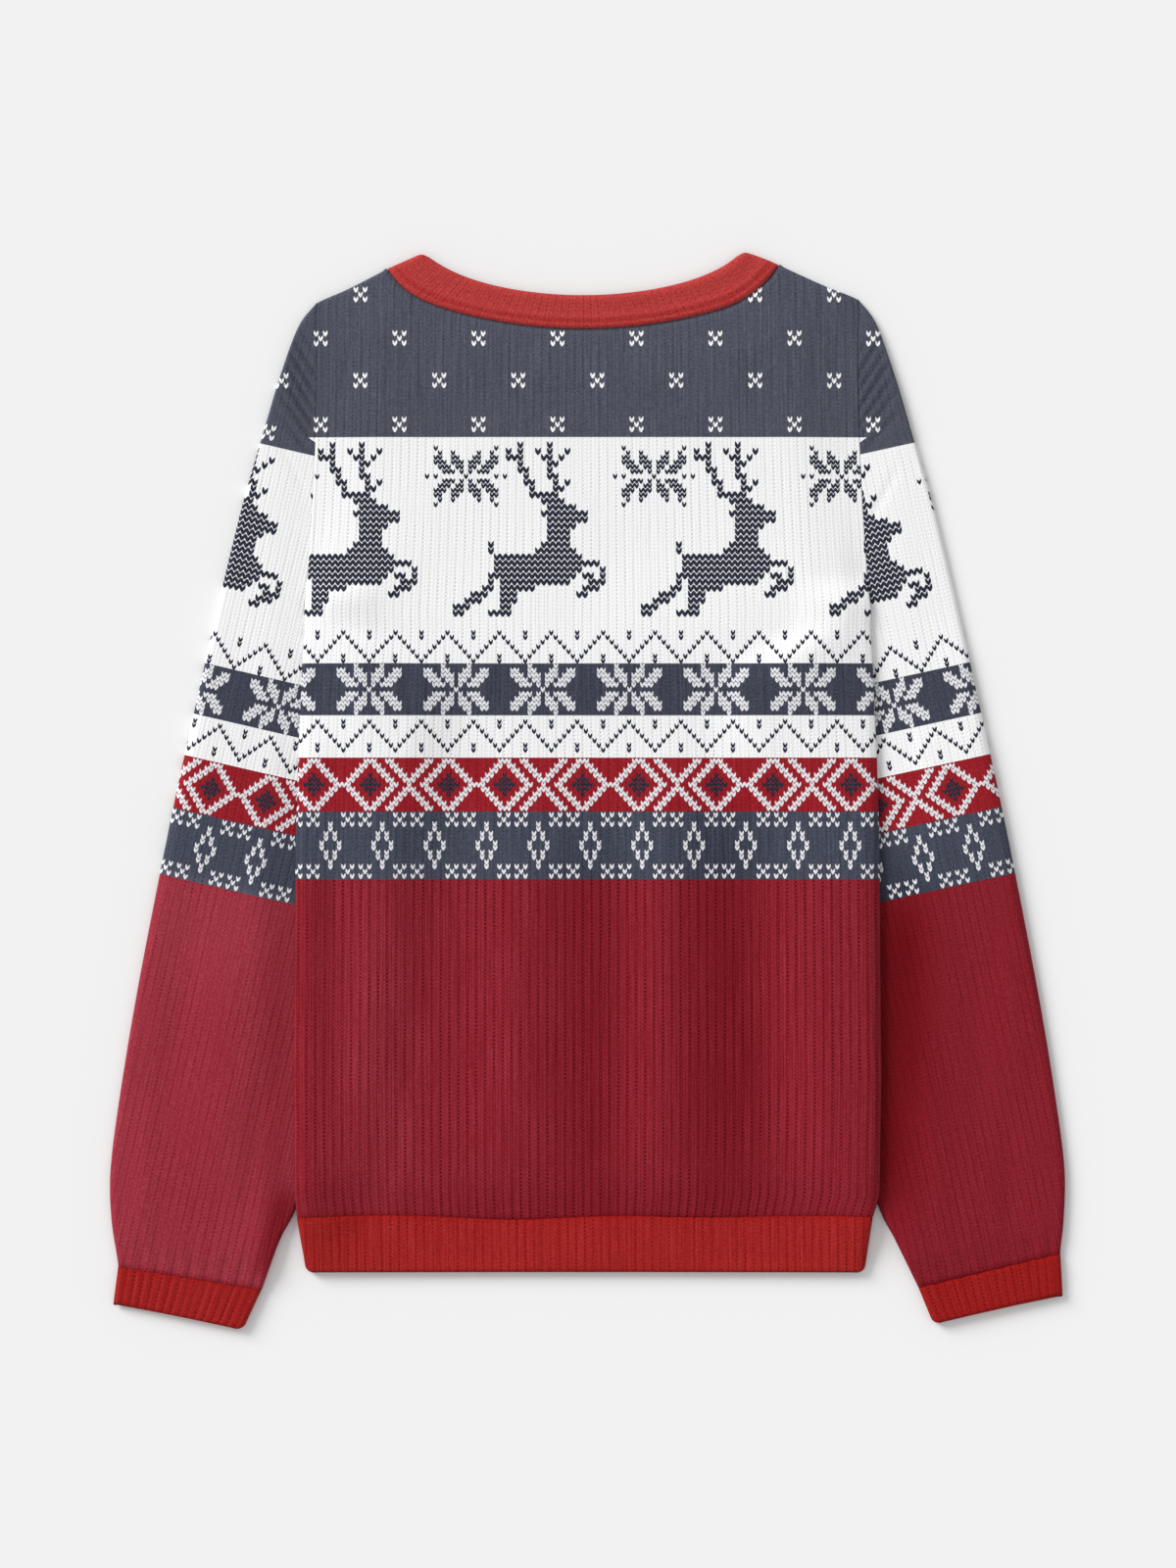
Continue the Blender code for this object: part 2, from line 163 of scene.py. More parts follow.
def body_half(y):
    """Half the body's width: the table below the underarm, the armhole above it."""
    below = np.interp(y, [row.y for row in BODY], [row.half for row in BODY])
    share = np.clip((y - UNDERARM[1]) / (SHOULDER_TIP[1] - UNDERARM[1]), 0.0, 1.0)
    armhole = UNDERARM[0] + (SHOULDER_TIP[0] - UNDERARM[0]) * share
    armhole = armhole - 4.0 * ARMHOLE_BOW * share * (1.0 - share)
    return np.where(np.asarray(y) > UNDERARM[1], armhole, below)


def body_centre(y):
    """How far the body's middle lies off the centre line."""
    return np.interp(y, [row.y for row in BODY], [row.centre for row in BODY])


INNER_FOLD = smooth_rows(SLEEVE, 6)[::-1]


def lift(x, y):
    """Height of the body's underside: it rides over the sleeves' inner folds."""
    fold_x = np.interp(y, INNER_FOLD[:, 3], INNER_FOLD[:, 2])
    across = (np.abs(x) - (fold_x - LIFT_RUN)) / (LIFT_RUN - LIFT_MARGIN)
    start = (UNDERARM[1] - y) / LIFT_START
    end = (y - HEM_EDGE_Y) / (HEM_SEAM_Y - HEM_EDGE_Y)
    return LIFT * smoothstep(across) * smoothstep(start) * smoothstep(end)


NeckCurve = namedtuple("NeckCurve", "half low top wide steep power")
NECK_CURVES = {
    "back seam": NeckCurve(NECK_SEAM_HALF, BACK_SEAM_LOW, NECK_SEAM_TOP, 0.65, 0.35, 12),
    "back opening": NeckCurve(NECK_OPEN_HALF, BACK_OPEN_LOW, NECK_OPEN_TOP, 0.72, 0.28, 6),
    "front seam": NeckCurve(NECK_SEAM_HALF, FRONT_SEAM_LOW, NECK_SEAM_TOP, 0.0, 0.0, 0),
    "front opening": NeckCurve(NECK_OPEN_HALF, FRONT_OPEN_LOW, NECK_OPEN_TOP, 0.0, 0.0, 0),
}


def neck_curve(name, t, out=0.0):
    """A point on one of the four neck curves; t runs from -1 to 1 across it."""
    curve = NECK_CURVES[name]
    if curve.power:
        rise = curve.wide * t ** 2 + curve.steep * np.abs(t) ** curve.power
    else:
        rise = 1.0 - np.sqrt(1.0 - np.clip(t, -1.0, 1.0) ** 2)
    x = NECK_CENTRE_X + (curve.half + out) * t
    return x, curve.low - out + (curve.top - curve.low) * rise


SHOULDER_RISE = 2.6       # the right shoulder lies this much higher than the left one
SHOULDER_SWELL = 1.6      # the caps of the sleeves fill out the tips of the shoulders


def settled(x, y):
    """Where a point of the plan comes to lie: the two shoulders aren't quite alike."""
    rise = SHOULDER_RISE * smoothstep((x - 88.0) / 34.0) * smoothstep((y - 285.0) / 50.0)
    away = np.hypot(np.abs(x) - SHOULDER_TIP[0], y - SHOULDER_TIP[1])
    swell = SHOULDER_SWELL * bell(away, 16.0)
    return x + 0.6 * np.sign(x) * swell, y + rise + 0.8 * swell


print("body's width at the underarm: %.1f mm" % (2 * body_half(UNDERARM[1])))
print("neck opening's width: %.1f mm" % (2 * NECK_OPEN_HALF))

# %% [markdown]
# ## One way to make every piece of cloth
#
# A knitted wall has an outer face, an inner face and soft rounded rims between them. All of that
# is one grid that is rolled up: its rows run over the outer face, round one rim, back over the
# inner face and round the other rim. On a tube the columns close too. So a piece starts as
# Blender's own grid primitive, and a function places its points. The grid's own numbers then give
# each point a place on three maps: one for the bake, one in metres for the pattern, and one that
# counts ribs and courses for the yarn. Merging the doubled points closes every seam of the shell.

# %% Roll a grid up into a shell
RIM_ANGLES = np.radians((45.0, 90.0, 135.0))
OUTER_SHARE = 0.95        # share of the bake map that the outer face gets


def unit(vectors):
    """Vectors of length one."""
    return vectors / np.maximum(np.linalg.norm(vectors, axis=-1, keepdims=True), 1e-9)


def rim_rows(out_edge, in_edge, beyond):
    """Rows that round the cloth's edge, from the outer face over to the inner one."""
    middle = (out_edge + in_edge) / 2
    half = (out_edge - in_edge) / 2
    bulge = unit(beyond) * np.linalg.norm(half, axis=-1, keepdims=True)
    return [middle + math.cos(a) * half + math.sin(a) * bulge for a in RIM_ANGLES]


def rolled(outer, inner, rims):
    """Stack the faces and the rims of a wall as the rows of one grid."""
    rows = [outer, *[[row] for row in rims[0]], inner[::-1], *[[row] for row in rims[1]],
            outer[:1]]
    return np.concatenate([np.asarray(part) for part in rows])


def make_cloth(name, outer, inner, knit, rib, shade):
    """A closed shell from the points, maps and shades of its two faces, in millimetres."""
    rims = (rim_rows(outer[-1], inner[-1], outer[-1] - outer[-2]),
            rim_rows(inner[0], outer[0], outer[0] - outer[1]))
    places = rolled(outer, inner, rims)
    rim_count = len(RIM_ANGLES)
    maps = [rolled(face, face, ([face[-1]] * rim_count, [face[0]] * rim_count))
            for face in (knit, rib, shade)]
    rows, columns = places.shape[0] - 1, places.shape[1] - 1
    row_share = np.append(np.linspace(0.0, OUTER_SHARE, len(outer)),
                          np.linspace(OUTER_SHARE, 1.0, rows + 2 - len(outer))[1:])

    bpy.ops.mesh.primitive_grid_add(x_subdivisions=columns, y_subdivisions=rows, size=2.0)
    piece = bpy.context.active_object
    piece.name = name
    mesh = piece.data
    mesh.name = name
    start = np.empty(len(mesh.vertices) * 3)
    mesh.vertices.foreach_get("co", start)
    start = start.reshape(-1, 3)
    column = np.rint((start[:, 0] + 1) / 2 * columns).astype(int)
    row = np.rint((start[:, 1] + 1) / 2 * rows).astype(int)
    mesh.vertices.foreach_set("co", (places[row, column] * MM).ravel())

    corners = np.empty(len(mesh.loops), int)
    mesh.loops.foreach_get("vertex_index", corners)
    while mesh.uv_layers:
        mesh.uv_layers.remove(mesh.uv_layers[0])
    bake = np.stack([column / columns, row_share[row]], axis=1)
    layers = {"OFBake": bake, "Knit": maps[0][row, column] * MM, "Rib": maps[1][row, column]}
    for layer, values in layers.items():
        mesh.uv_layers.new(name=layer).data.foreach_set("uv", values[corners].ravel())
    shades = mesh.attributes.new("Shade", "FLOAT", "POINT")
    shades.data.foreach_set("value", maps[2][row, column].astype(np.float32))

    bpy.ops.object.mode_set(mode="EDIT")
    bpy.ops.mesh.select_all(action="SELECT")
    bpy.ops.mesh.remove_doubles(threshold=0.000002)
    bpy.ops.mesh.normals_make_consistent(inside=False)
    bpy.ops.object.mode_set(mode="OBJECT")
    bpy.ops.object.shade_smooth()
    piece.select_set(False)
    return piece


def report(piece):
    """Print a piece's size, its triangles and whether it is closed."""
    mesh = piece.data
    mesh.calc_loop_triangles()
    uses = np.zeros(len(mesh.edges), int)
    edges = np.empty(len(mesh.loops), int)
    mesh.loops.foreach_get("edge_index", edges)
    np.add.at(uses, edges, 1)
    size = [round(side / MM, 1) for side in piece.dimensions]
    print(piece.name, "size", size, "mm,", len(mesh.loop_triangles), "triangles,",
          "closed" if (uses == 2).all() else "OPEN at %d edges" % (uses != 2).sum())


print("rims are rounded in", len(RIM_ANGLES) + 1, "steps")

# %% [markdown]
# ## Ribs, folds and soft edges
#
# A rib knit is a row of rounded ridges with narrow valleys between them. No two ribs are equally
# deep along their whole length, so each has its own slowly changing depth. Larger folds are listed
# in small tables: where a fold starts and ends, how wide it is and how high it stands.
# Edges come down softly, as the knit rolls over to its seam.

# %% Heights that every piece shares
RIB_PITCH = 5.4           # from one rib to the next
COURSE = 2.53             # height of one row of stitches
DEPTH_KNOTS = 24          # places along a rib where its depth changes
KNOT_SPAN = 720.0         # the length over which those places are spread
SOFT_COURSES = 1000       # softer knits count their courses from here, so that a shader can tell
rng = np.random.default_rng(24)
RIB_DEPTHS = rng.uniform(0.0, 1.0, (512, DEPTH_KNOTS)) ** 1.6 * 1.5


def rib_height(rib, along, depth, even=0.0):
    """Height of the ribs, from about -depth in a valley to 0 on a ridge; rib counts them."""
    number = np.rint(rib).astype(int) % len(RIB_DEPTHS)
    knot = np.clip(along / KNOT_SPAN + 0.5, 0.0, 0.999) * (DEPTH_KNOTS - 1)
    low = knot.astype(int)
    part = smoothstep(knot - low)
    own = RIB_DEPTHS[number, low] * (1 - part) + RIB_DEPTHS[number, low + 1] * part
    own = even + (1.0 - even) * own
    valley = 0.5 + 0.5 * np.cos(2 * np.pi * rib)
    return -depth * own * valley ** 4


Fold = namedtuple("Fold", "x1 y1 x2 y2 width height")


def fold_height(x, y, folds):
    """Sum of soft ridges, and troughs where the height is negative."""
    total = np.zeros_like(x)
    for fold in folds:
        run = np.array((fold.x2 - fold.x1, fold.y2 - fold.y1))
        length = np.linalg.norm(run)
        t = ((x - fold.x1) * run[0] + (y - fold.y1) * run[1]) / length ** 2
        away = ((x - fold.x1) * -run[1] + (y - fold.y1) * run[0]) / length
        ends = smoothstep((t + 0.15) / 0.4) * smoothstep((1.15 - t) / 0.4)
        total = total + fold.height * bell(away, fold.width) * ends
    return total


def rounding(distance, reach, start=0.0):
    """Share of the full height near an edge that rounds over; start is its share at the edge."""
    left = 1.0 - np.clip(distance / reach, 0.0, 1.0)
    return start + (1.0 - start) * np.sqrt(np.maximum(1.0 - left ** 2, 0.0))


print("depths drawn for", len(RIB_DEPTHS), "ribs")

# %% [markdown]
# ## The back and the front
#
# A panel is a sheet with sixty-six ribs. Its columns follow the ribs, so they stay crisp, and its
# rows stand closer together beside the hem and the top. The back keeps its long soft folds below
# the chest, and a roll along each side, where it lies over a sleeve. The front lies face down on
# the floor, so its outer face is flat, and it comes up with the back at the sides.

# %% Shape a panel
PANEL_RIBS = 66
EDGE_ROWS = np.array((0.0, 0.7, 1.6, 3.0, 5.0))     # insets from the hem and from the top
EDGE_COLUMNS = np.array((0.0, 0.25, 0.6))           # insets from the sides
SIDE_ROLL = 3.2           # how far the body's sides puff up over the sleeves
BACK_CROWN = 2.4          # how far the back puffs up in its middle
RIM_ROOM = 0.8            # room for the rounded rim of a seam
OVERHANG = 1.4            # how far a piece laps over its neighbour at a band's seam
HEM_RISE = 1.2            # how far above the hem band's wall its soft seam lies
HEM_SAG = 0.6             # how far below the wall its soft edge hangs
LAP_END = 106.0           # the back laps over the sleeves from here up
CHEST_Y = 90.0            # the back's middle fills up most here
CHEST_FILL = 2.4          # and that far, level with its raised sides
ROLL_TOP = 80.0           # the rolls along the sides fade in from here
ROLL_FULL = -40.0         # and are full from here down
ROLL_INSET = 11.0         # how far in from the sides their ridges lie
CRIMSON_TOP = -64.0       # the plain ribs below here are a little deeper

BACK_FOLDS = table(Fold, """
 -44 -276  -40   0 26  3.2
  54 -272   52  10 21    3
  17 -270   20 -30 17 -1.4
 116 -274  118  20 25 -2.8
 -96 -268  -94 -50 20 -0.8
-142 -262 -140  30 21  1.3
 164 -250  162  40 17  1.6
 -20   96   36 176 24 -0.5
  84  100  128 190 28  0.4
-150  110  -96 210 26  0.4
-118  230  -60 268 16 -0.6
  66  282  120 240 17 -0.7
""")
# Painted shade and light along the back's folds and by its hem: how much deeper the knit's colour
# is;
# a negative one is paler.
BACK_PAINTED_SHADING = table(Fold, """
   2 -290    0  -20 24  0.32
  94 -290   90    0 27  0.48
-138 -290 -140  -60 26 -0.36
 -60 -240  -62  -60 16 -0.06
-187 -270 -187   80  7   0.1
-150 -279  150 -279 12   0.2
""")
FRONT_SHIFT = -39.86      # sets the front's pattern so that its seeds meet those of the back


def hem_wave(x):
    """The hem seam isn't quite straight."""
    return 0.7 * np.sin(x / 23.0 + 0.6) + 0.5 * np.sin(x / 41.0 - 1.0)


def panel_top(side, x):
    """The height on the body of a panel's top edge: the shoulder line or the neck seam."""
    tip_x, tip_y = SHOULDER_TIP
    half = NECK_SEAM_HALF + NECK_SEAM
    t = (x - NECK_CENTRE_X) / half
    end = np.abs(NECK_CENTRE_X + np.copysign(half, x))
    shoulder = tip_y + (NECK_SEAM_TOP - NECK_SEAM - tip_y) * (tip_x - np.abs(x)) / (tip_x - end)
    neck = neck_curve(side + " seam", np.clip(t, -1.0, 1.0), NECK_SEAM)[1]
    return np.where(np.abs(t) > 1.0, shoulder, neck)


def back_puff(x, y, from_side, from_top, from_hem):
    """How far the back puffs up: in its middle, in its folds and in a roll along each side."""
    inside = smoothstep(from_side / 46.0) * smoothstep(from_top / 40.0)
    inside = inside * smoothstep(from_hem / 30.0)
    roll = smoothstep((ROLL_TOP - y) / (ROLL_TOP - ROLL_FULL)) * smoothstep(from_hem / 26.0)
    roll = roll * bell(from_side - ROLL_INSET, 13.0)
    brim = bell(y - UNDERARM[1] + LIFT_START / 2, 36.0)
    brim = brim * smoothstep(from_side / 20.0) * bell(from_side, 50.0)
    crown = BACK_CROWN + CHEST_FILL * bell(y - CHEST_Y, 56.0)
    folds = fold_height(x, y, BACK_FOLDS) * smoothstep(from_top / 30.0)
    return crown * inside + SIDE_ROLL * (roll + 0.75 * brim) + folds


def make_panel(side, per_rib, rows):
    """The back or the front, as a shell that rests on the other one."""
    tip = SHOULDER_TIP[0]
    lap = OVERHANG if side == "back" else 0.0
    grid_x = np.linspace(-tip, tip, PANEL_RIBS * per_rib + 1)
    grid_x = np.concatenate([EDGE_COLUMNS - tip, grid_x[1:-1], tip - EDGE_COLUMNS[::-1]])
    on_shoulder = smoothstep((np.abs(grid_x - NECK_CENTRE_X) - NECK_SEAM_HALF) / 4.0)
    top = panel_top(side, grid_x) + (lap - RIM_ROOM) * (1.0 - on_shoulder)
    low = HEM_SEAM_Y + HEM_RISE + hem_wave(grid_x) + RIM_ROOM - lap
    fine, inset = EDGE_ROWS[:-1, None], EDGE_ROWS[-1]
    share = np.linspace(0.0, 1.0, rows + 1)[:, None]
    y = np.concatenate([low + fine, low + inset + share * (top - low - 2 * inset),
                        top - fine[::-1]])
    grid_x = np.broadcast_to(grid_x, y.shape)
    stray = np.abs(grid_x) / tip
    from_side = body_half(y) * (1.0 - stray)
    from_top, from_hem = top - y, y - low
    over_sleeve = lap * smoothstep((y - LAP_END) / 14.0) * smoothstep(from_top / 8.0)
    x = grid_x * (body_half(y) + over_sleeve) / tip + body_centre(y) * stray
    x, y = settled(x, y)

    free_side = smoothstep((UNDERARM[1] - 6.0 - y) / 18.0)
    at_side = np.where(y > UNDERARM[1], 0.86, 0.0)
    edge = rounding(from_side, 2.0 + 5.0 * free_side, at_side)
    edge = edge * (on_shoulder * rounding(from_top, 3.4, 0.3)
                   + (1.0 - on_shoulder) * rounding(from_top - lap, 2.4, 0.5))
    edge = edge * rounding(from_hem, 2.6, 0.94 if side == "back" else 0.4)

    facing = -1.0
    puff, tone = np.zeros_like(x), 0.0
    knit_x = FRONT_SHIFT - x
    if side == "back":
        facing = 1.0
        puff = back_puff(x, y, from_side, from_top, from_hem)
        # Painted light and shade across the back's folds.
        tone = fold_height(x, y, BACK_PAINTED_SHADING)
        knit_x = x
    ribs = grid_x / tip * (PANEL_RIBS / 2) + 0.5
    depth = 0.14 - 0.03 * smoothstep((y - CRIMSON_TOP) / 12.0)
    ribbed = rib_height(ribs, y, depth) * np.clip(edge * 1.6 - 0.6, 0.0, 1.0)
    middle = lift(x, y) + KNIT_WALL + LAYER_GAP / 2
    grown = KNIT_WALL + (LAYER_GAP - SEAM) / 2 + puff
    outer_z = np.maximum(middle + facing * (SEAM / 2 + grown * edge + ribbed), 0.0)
    inner_z = middle + facing * (SEAM / 2 + np.maximum(grown - KNIT_WALL, 0.0) * edge)
    inner_z[:, (0, -1)] = outer_z[:, (0, -1)]

    outer, inner = np.dstack([x, y, outer_z]), np.dstack([x, y, inner_z])
    knit, rib = np.dstack([knit_x, y]), np.dstack([ribs, y / COURSE])
    # Painted shade along the hem seam, and on the back its painted light and shade.
    shade = 0.4 * bell(from_hem, 2.2) + tone
    return make_cloth(side + "_panel_knit", outer, inner, knit, rib, shade)


back = make_panel("back", per_rib=5, rows=120)
front = make_panel("front", per_rib=4, rows=91)
report(back)
report(front)

# %% [markdown]
# ## Tubes that lie flat
#
# A sleeve, a cuff and the hem band are tubes, pressed flat. A section of one goes from its first
# fold over to its second fold, and back under it. The folds stay round, so the points stand
# closer together there. The doubled point at the second fold closes the tube.

# %% Lay out a tube's sections
Section = namedtuple("Section", "plan inner from_first from_second side run")


def across(count):
    """Shares of the way over a flattened tube, closer together beside its two folds."""
    fine = np.array((0.0, 0.003, 0.009, 0.018))
    middle = np.linspace(0.03, 0.97, count)
    return np.concatenate([fine, middle, 1.0 - fine[::-1]])


def lay_tube(firsts, seconds, bows, wall, over_count, under_count):
    """Plan of a flattened tube: its columns run under it and back over it."""
    under, over = across(under_count)[::-1], across(over_count)[1:]
    share = np.concatenate([under, over])
    side = np.concatenate([np.full(len(under), -1.0), np.ones(len(over))])
    reach = seconds - firsts
    length = np.linalg.norm(reach, axis=1)[:, None]
    normal = np.stack([-reach[:, 1], reach[:, 0]], axis=1) / length
    plans = []
    for margin in (0.0, wall):
        s = margin / length + share * (1.0 - 2.0 * margin / length)
        bow = (4.0 * bows[:, None] * s * (1.0 - s))[..., None]
        plans.append(firsts[:, None] + reach[:, None] * s[..., None] + normal[:, None] * bow)
    steps = np.linalg.norm(np.diff(plans[0], axis=0), axis=2)
    run = np.vstack([np.zeros(len(share)), np.cumsum(steps, axis=0)])
    return Section(plans[0], plans[1], share * length, (1.0 - share) * length, side, run)


def tube_walls(section, height, centre, wall, round_over, relief):
    """Outer and inner points of a flattened tube, from its height and its folds' centre."""
    top = np.where(section.side > 0, height - centre, -centre)
    thin = np.where(section.side > 0, height - centre - wall, wall - centre)
    outer_z = centre + top * round_over + relief
    inner_z = centre + thin * round_over
    base = np.minimum(outer_z, 0.0) * (section.side < 0)
    outer = np.dstack([section.plan, outer_z - base])
    return outer, np.dstack([section.inner, inner_z])


print("a section of 100 points over it has", len(across(100)), "in all")

# %% [markdown]
# ## The sleeves
#
# A sleeve follows the same sections as its solid. It is low where the body lies over it, and puffs
# up softly beside the body. Its ribs run along the arm, so they are counted across the sleeve's
# own slanted map, and the bands of the pattern meet those of the body at the armhole.
# The set-in cap pulls at its seam, which gives a fan of short strain creases. The underside has
# the same map, turned over at the outer fold.

# %% Shape a sleeve
SLEEVE_STEPS = 11         # rings between two rows of the table
SLEEVE_LOW = 4.5          # height of a sleeve where the body lies on it
SLEEVE_PUFF = 5.0         # how much higher it is beside the body
SLEEVE_FALL = 105.0       # how far out from the body that puff has gone down
FOLD_EASE = 1.4           # how far the soft outer fold bulges out
CAP_Y = 158.0             # the cap, with its strain creases, begins here

SleeveMap = namedtuple("SleeveMap", "across_x across_y across_0 along_x along_y along_0")
SLEEVE_MAPS = {
    "left": SleeveMap(0.974, -0.225, 240.1, 0.225, 0.974, 58.9),
    "right": SleeveMap(0.977, 0.213, -240.5, -0.213, 0.977, 55.0),
}

# Where each strain crease starts, on the cap, and where it runs into the armhole seam.
LEFT_CREASES = table(Fold, """
  -193 309 -178.5 286 1.2 -1.2
  -197 302   -179 273 1.3 -2.1
  -199 293 -179.5 261 1.3 -2.4
  -201 284   -180 250 1.4 -2.2
  -203 274   -181 240 1.4 -2.4
-204.5 263   -182 231 1.5 -1.8
  -205 250   -184 222 1.6 -1.2
  -206 234   -187 198 2.6 -0.7
""")
RIGHT_CREASES = table(Fold, """
  192 309 178.5 288 1.2 -1.1
  196 303   179 275 1.3 -2.2
198.5 294 179.5 264 1.3   -2
  201 286   180 253 1.4 -2.5
203.5 276   181 243 1.4 -2.2
  206 267   182 235 1.5 -1.9
  209 255   184 227 1.7 -1.5
  206 214   188 180   3 -0.8
""")
LEFT_FOLDS = table(Fold, """
-246  120 -272  -80 15  1.3
-216   60 -226  -60 11 -1.3
-262  -70 -280 -230 13 -1.4
-236 -110 -246 -250 14  1.2
-216 -190 -226 -290  8 -1.4
-292 -205 -294 -300  8  0.9
""")
RIGHT_FOLDS = table(Fold, """
214   60 219 -150 10 -1.6
246  110 270  -70 14  1.2
276  -40 292 -180 12    1
252 -100 262 -240 13 -1.2
226 -170 236 -290  9  1.2
280 -210 282 -296 10   -1
""")
# Painted shade on the sleeves: bands of deeper colour beside the body's edge and on the lower
# sleeves; a fold's height is how much deeper the colour is.
LEFT_PAINTED_SHADE = table(Fold, """
-200  -70 -212 -290 12 0.25
-250 -120 -264 -320 44 0.25
-198 -264 -215 -322  9  0.9
""")
RIGHT_PAINTED_SHADE = table(Fold, """
206 -55 200 -290 22 1.1
214 -70 216 -200 12 0.3
""")
Gather = namedtuple("Gather", "count strength reach")
ArmLook = namedtuple("ArmLook", "creases folds gather tone tones")
# A sleeve's tone is painted light on the left sleeve's crimson, which faces the light, and painted
# shade on the right sleeve's.
LEFT_ARM = ArmLook(LEFT_CREASES, LEFT_FOLDS, Gather(9, 0.35, 22.0), -0.62, LEFT_PAINTED_SHADE)
RIGHT_ARM = ArmLook(RIGHT_CREASES, RIGHT_FOLDS, Gather(7, 0.25, 18.0), 0.16, RIGHT_PAINTED_SHADE)


def sleeve_rings(cuff):
    """The outer and inner folds of a sleeve, down to just above its cuff."""
    table = [list(row) for row in SLEEVE]
    table[0][0] += RIM_ROOM - SEAM / 2
    table[0][2] += RIM_ROOM - SEAM / 2
    lap = SEAM + RIM_ROOM - OVERHANG
    table.append([cuff.sign * cuff.top_outer[0], cuff.top_outer[1] + lap,
                  cuff.sign * cuff.top_inner[0], cuff.top_inner[1] + lap])
    curve = smooth_rows(table, SLEEVE_STEPS)
    row = np.arange(len(curve)) / SLEEVE_STEPS
    curve[:, 0] += FOLD_EASE * smoothstep(row / 4.0) * smoothstep((row[-1] - row) / 2.0)
    curve[:, (0, 2)] *= cuff.sign
    return curve[:, :2], curve[:, 2:]


def sleeve_map(chart, x, y):
    """A place on a sleeve's own slanted map: across the arm and along it."""
    return (chart.across_x * x + chart.across_y * y + chart.across_0,
            chart.along_x * x + chart.along_y * y + chart.along_0)


def make_sleeve(cuff, look):
    """A set-in sleeve, from the armhole seam down to the cuff seam."""
    outer_fold, inner_fold = sleeve_rings(cuff)
    row = np.arange(len(outer_fold))
    bows = -cuff.sign * ARMHOLE_BOW * np.clip(1.0 - row / (3.0 * SLEEVE_STEPS), 0.0, 1.0)
    section = lay_tube(outer_fold, inner_fold, bows, KNIT_WALL, 150, 96)
    x, y = section.plan[..., 0], section.plan[..., 1]
    from_seam, from_cuff = section.run, section.run[-1] - section.run
    underneath = section.side < 0

    outside = np.abs(x) - body_half(y)
    for plan in (section.plan, section.inner):
        plan[..., 0], plan[..., 1] = settled(plan[..., 0], plan[..., 1])
    crown = SLEEVE_PUFF * smoothstep((outside - 1.0) / 30.0)
    crown = crown * (1.0 - 0.65 * np.clip(outside / SLEEVE_FALL, 0.0, 1.0))
    crown = crown * (0.18 + 0.82 * smoothstep((115.0 - y) / 120.0))
    crown = crown * (0.35 + 0.65 * smoothstep(from_cuff / 22.0))
    centre = KNIT_WALL + LAYER_GAP / 2 + 0.3 * crown
    round_over = rounding(section.from_first, 3.2 + 1.3 * crown)
    round_over = round_over * rounding(section.from_second, 2.6)
    end = rounding(from_seam, 4.0, 0.62) * rounding(from_cuff, 3.0, 0.8)

    free = smoothstep(outside / 9.0) * round_over
    over_cap = smoothstep((y - CAP_Y) / 26.0)
    bends = fold_height(x, y, look.creases) * over_cap * 0.5
    strain = np.clip(np.abs(bends), 0.0, 1.2)
    bends = bends + fold_height(x, y, look.folds) * free * smoothstep(from_cuff / 18.0)
    share = section.from_first / (section.from_first + section.from_second)
    pull = bell(from_cuff, look.gather.reach) * look.gather.strength
    bends = bends + pull * np.cos(2 * np.pi * look.gather.count * share) * free

    chart = SLEEVE_MAPS[cuff.side]
    u, v = sleeve_map(chart, x, y)
    u_tip = sleeve_map(chart, outer_fold[:, :1], outer_fold[:, 1:])[0]
    u = np.where(underneath, 2.0 * u_tip - u, u)
    ribs = u / RIB_PITCH
    near_seam = over_cap * bell(outside, 26.0)
    fade = round_over * np.clip(end * 1.6 - 0.6, 0.0, 1.0) * (1.0 - near_seam)
    depth = rib_height(ribs, v, 0.07) * fade
    relief = np.where(underneath, -depth + 0.35 * np.abs(bends), depth + bends)

    height = SLEEVE_LOW + crown
    outer, inner = tube_walls(section, height, centre, KNIT_WALL, round_over * end, relief)
    inner[..., 2] += np.where(underneath, 0.0, np.maximum(bends, -1.6) * 0.8)
    knit, rib = np.dstack([u, v]), np.dstack([ribs, v / COURSE + SOFT_COURSES])
    # Painted shade along the cuff seam, in the cap's strain creases and in the bands of painted
    # shade; painted light on the left sleeve's crimson, painted shade on the right's.
    shade = 0.4 * bell(from_cuff, 2.2) + look.tone * smoothstep((-50.0 - v) / 12.0)
    shade = shade + np.where(underneath, 0.0, fold_height(x, y, look.tones) + 0.3 * strain)
    return make_cloth("sleeve_%s_knit" % cuff.side, outer, inner, knit, rib, shade)


left_sleeve = make_sleeve(CUFFS[0], LEFT_ARM)
right_sleeve = make_sleeve(CUFFS[1], RIGHT_ARM)
report(left_sleeve)
report(right_sleeve)

# %% [markdown]
# ## The bands
#
# The cuffs and the hem are doubled rib bands, so they are thicker than the knit and their free
# edge is a fold. The left cuff is stretched less, and its ribs stand out. The neckband is a ring:
# its back half lies on top, its deeper front half lies under the back panel. A linked seam makes
# a ridge a few millimetres above its lower edge.

# %% Shape the cuffs and the hem
CUFF_ROWS = 18
CUFF_HEIGHT = 6.3
HEM_ROWS = 20
HEM_HEIGHT = 6.2
HEM_PITCH = 5.6           # the hem's ribs are stretched a little
CuffKnit = namedtuple("CuffKnit", "ribs depth even tone")


def corner_inset(from_edge):
    """How far a band's rounded corner draws in, by the distance from the free edge."""
    rise = np.maximum(0.0, BAND_CORNER - from_edge)
    return BAND_CORNER - np.sqrt(BAND_CORNER ** 2 - rise ** 2)


def band_rows(beside_edge, seam, count):
    """Where a band's rows lie, from its seam down to its free edge: distances from that edge."""
    return np.concatenate([beside_edge, np.linspace(BAND_CORNER, seam, count)])[::-1]


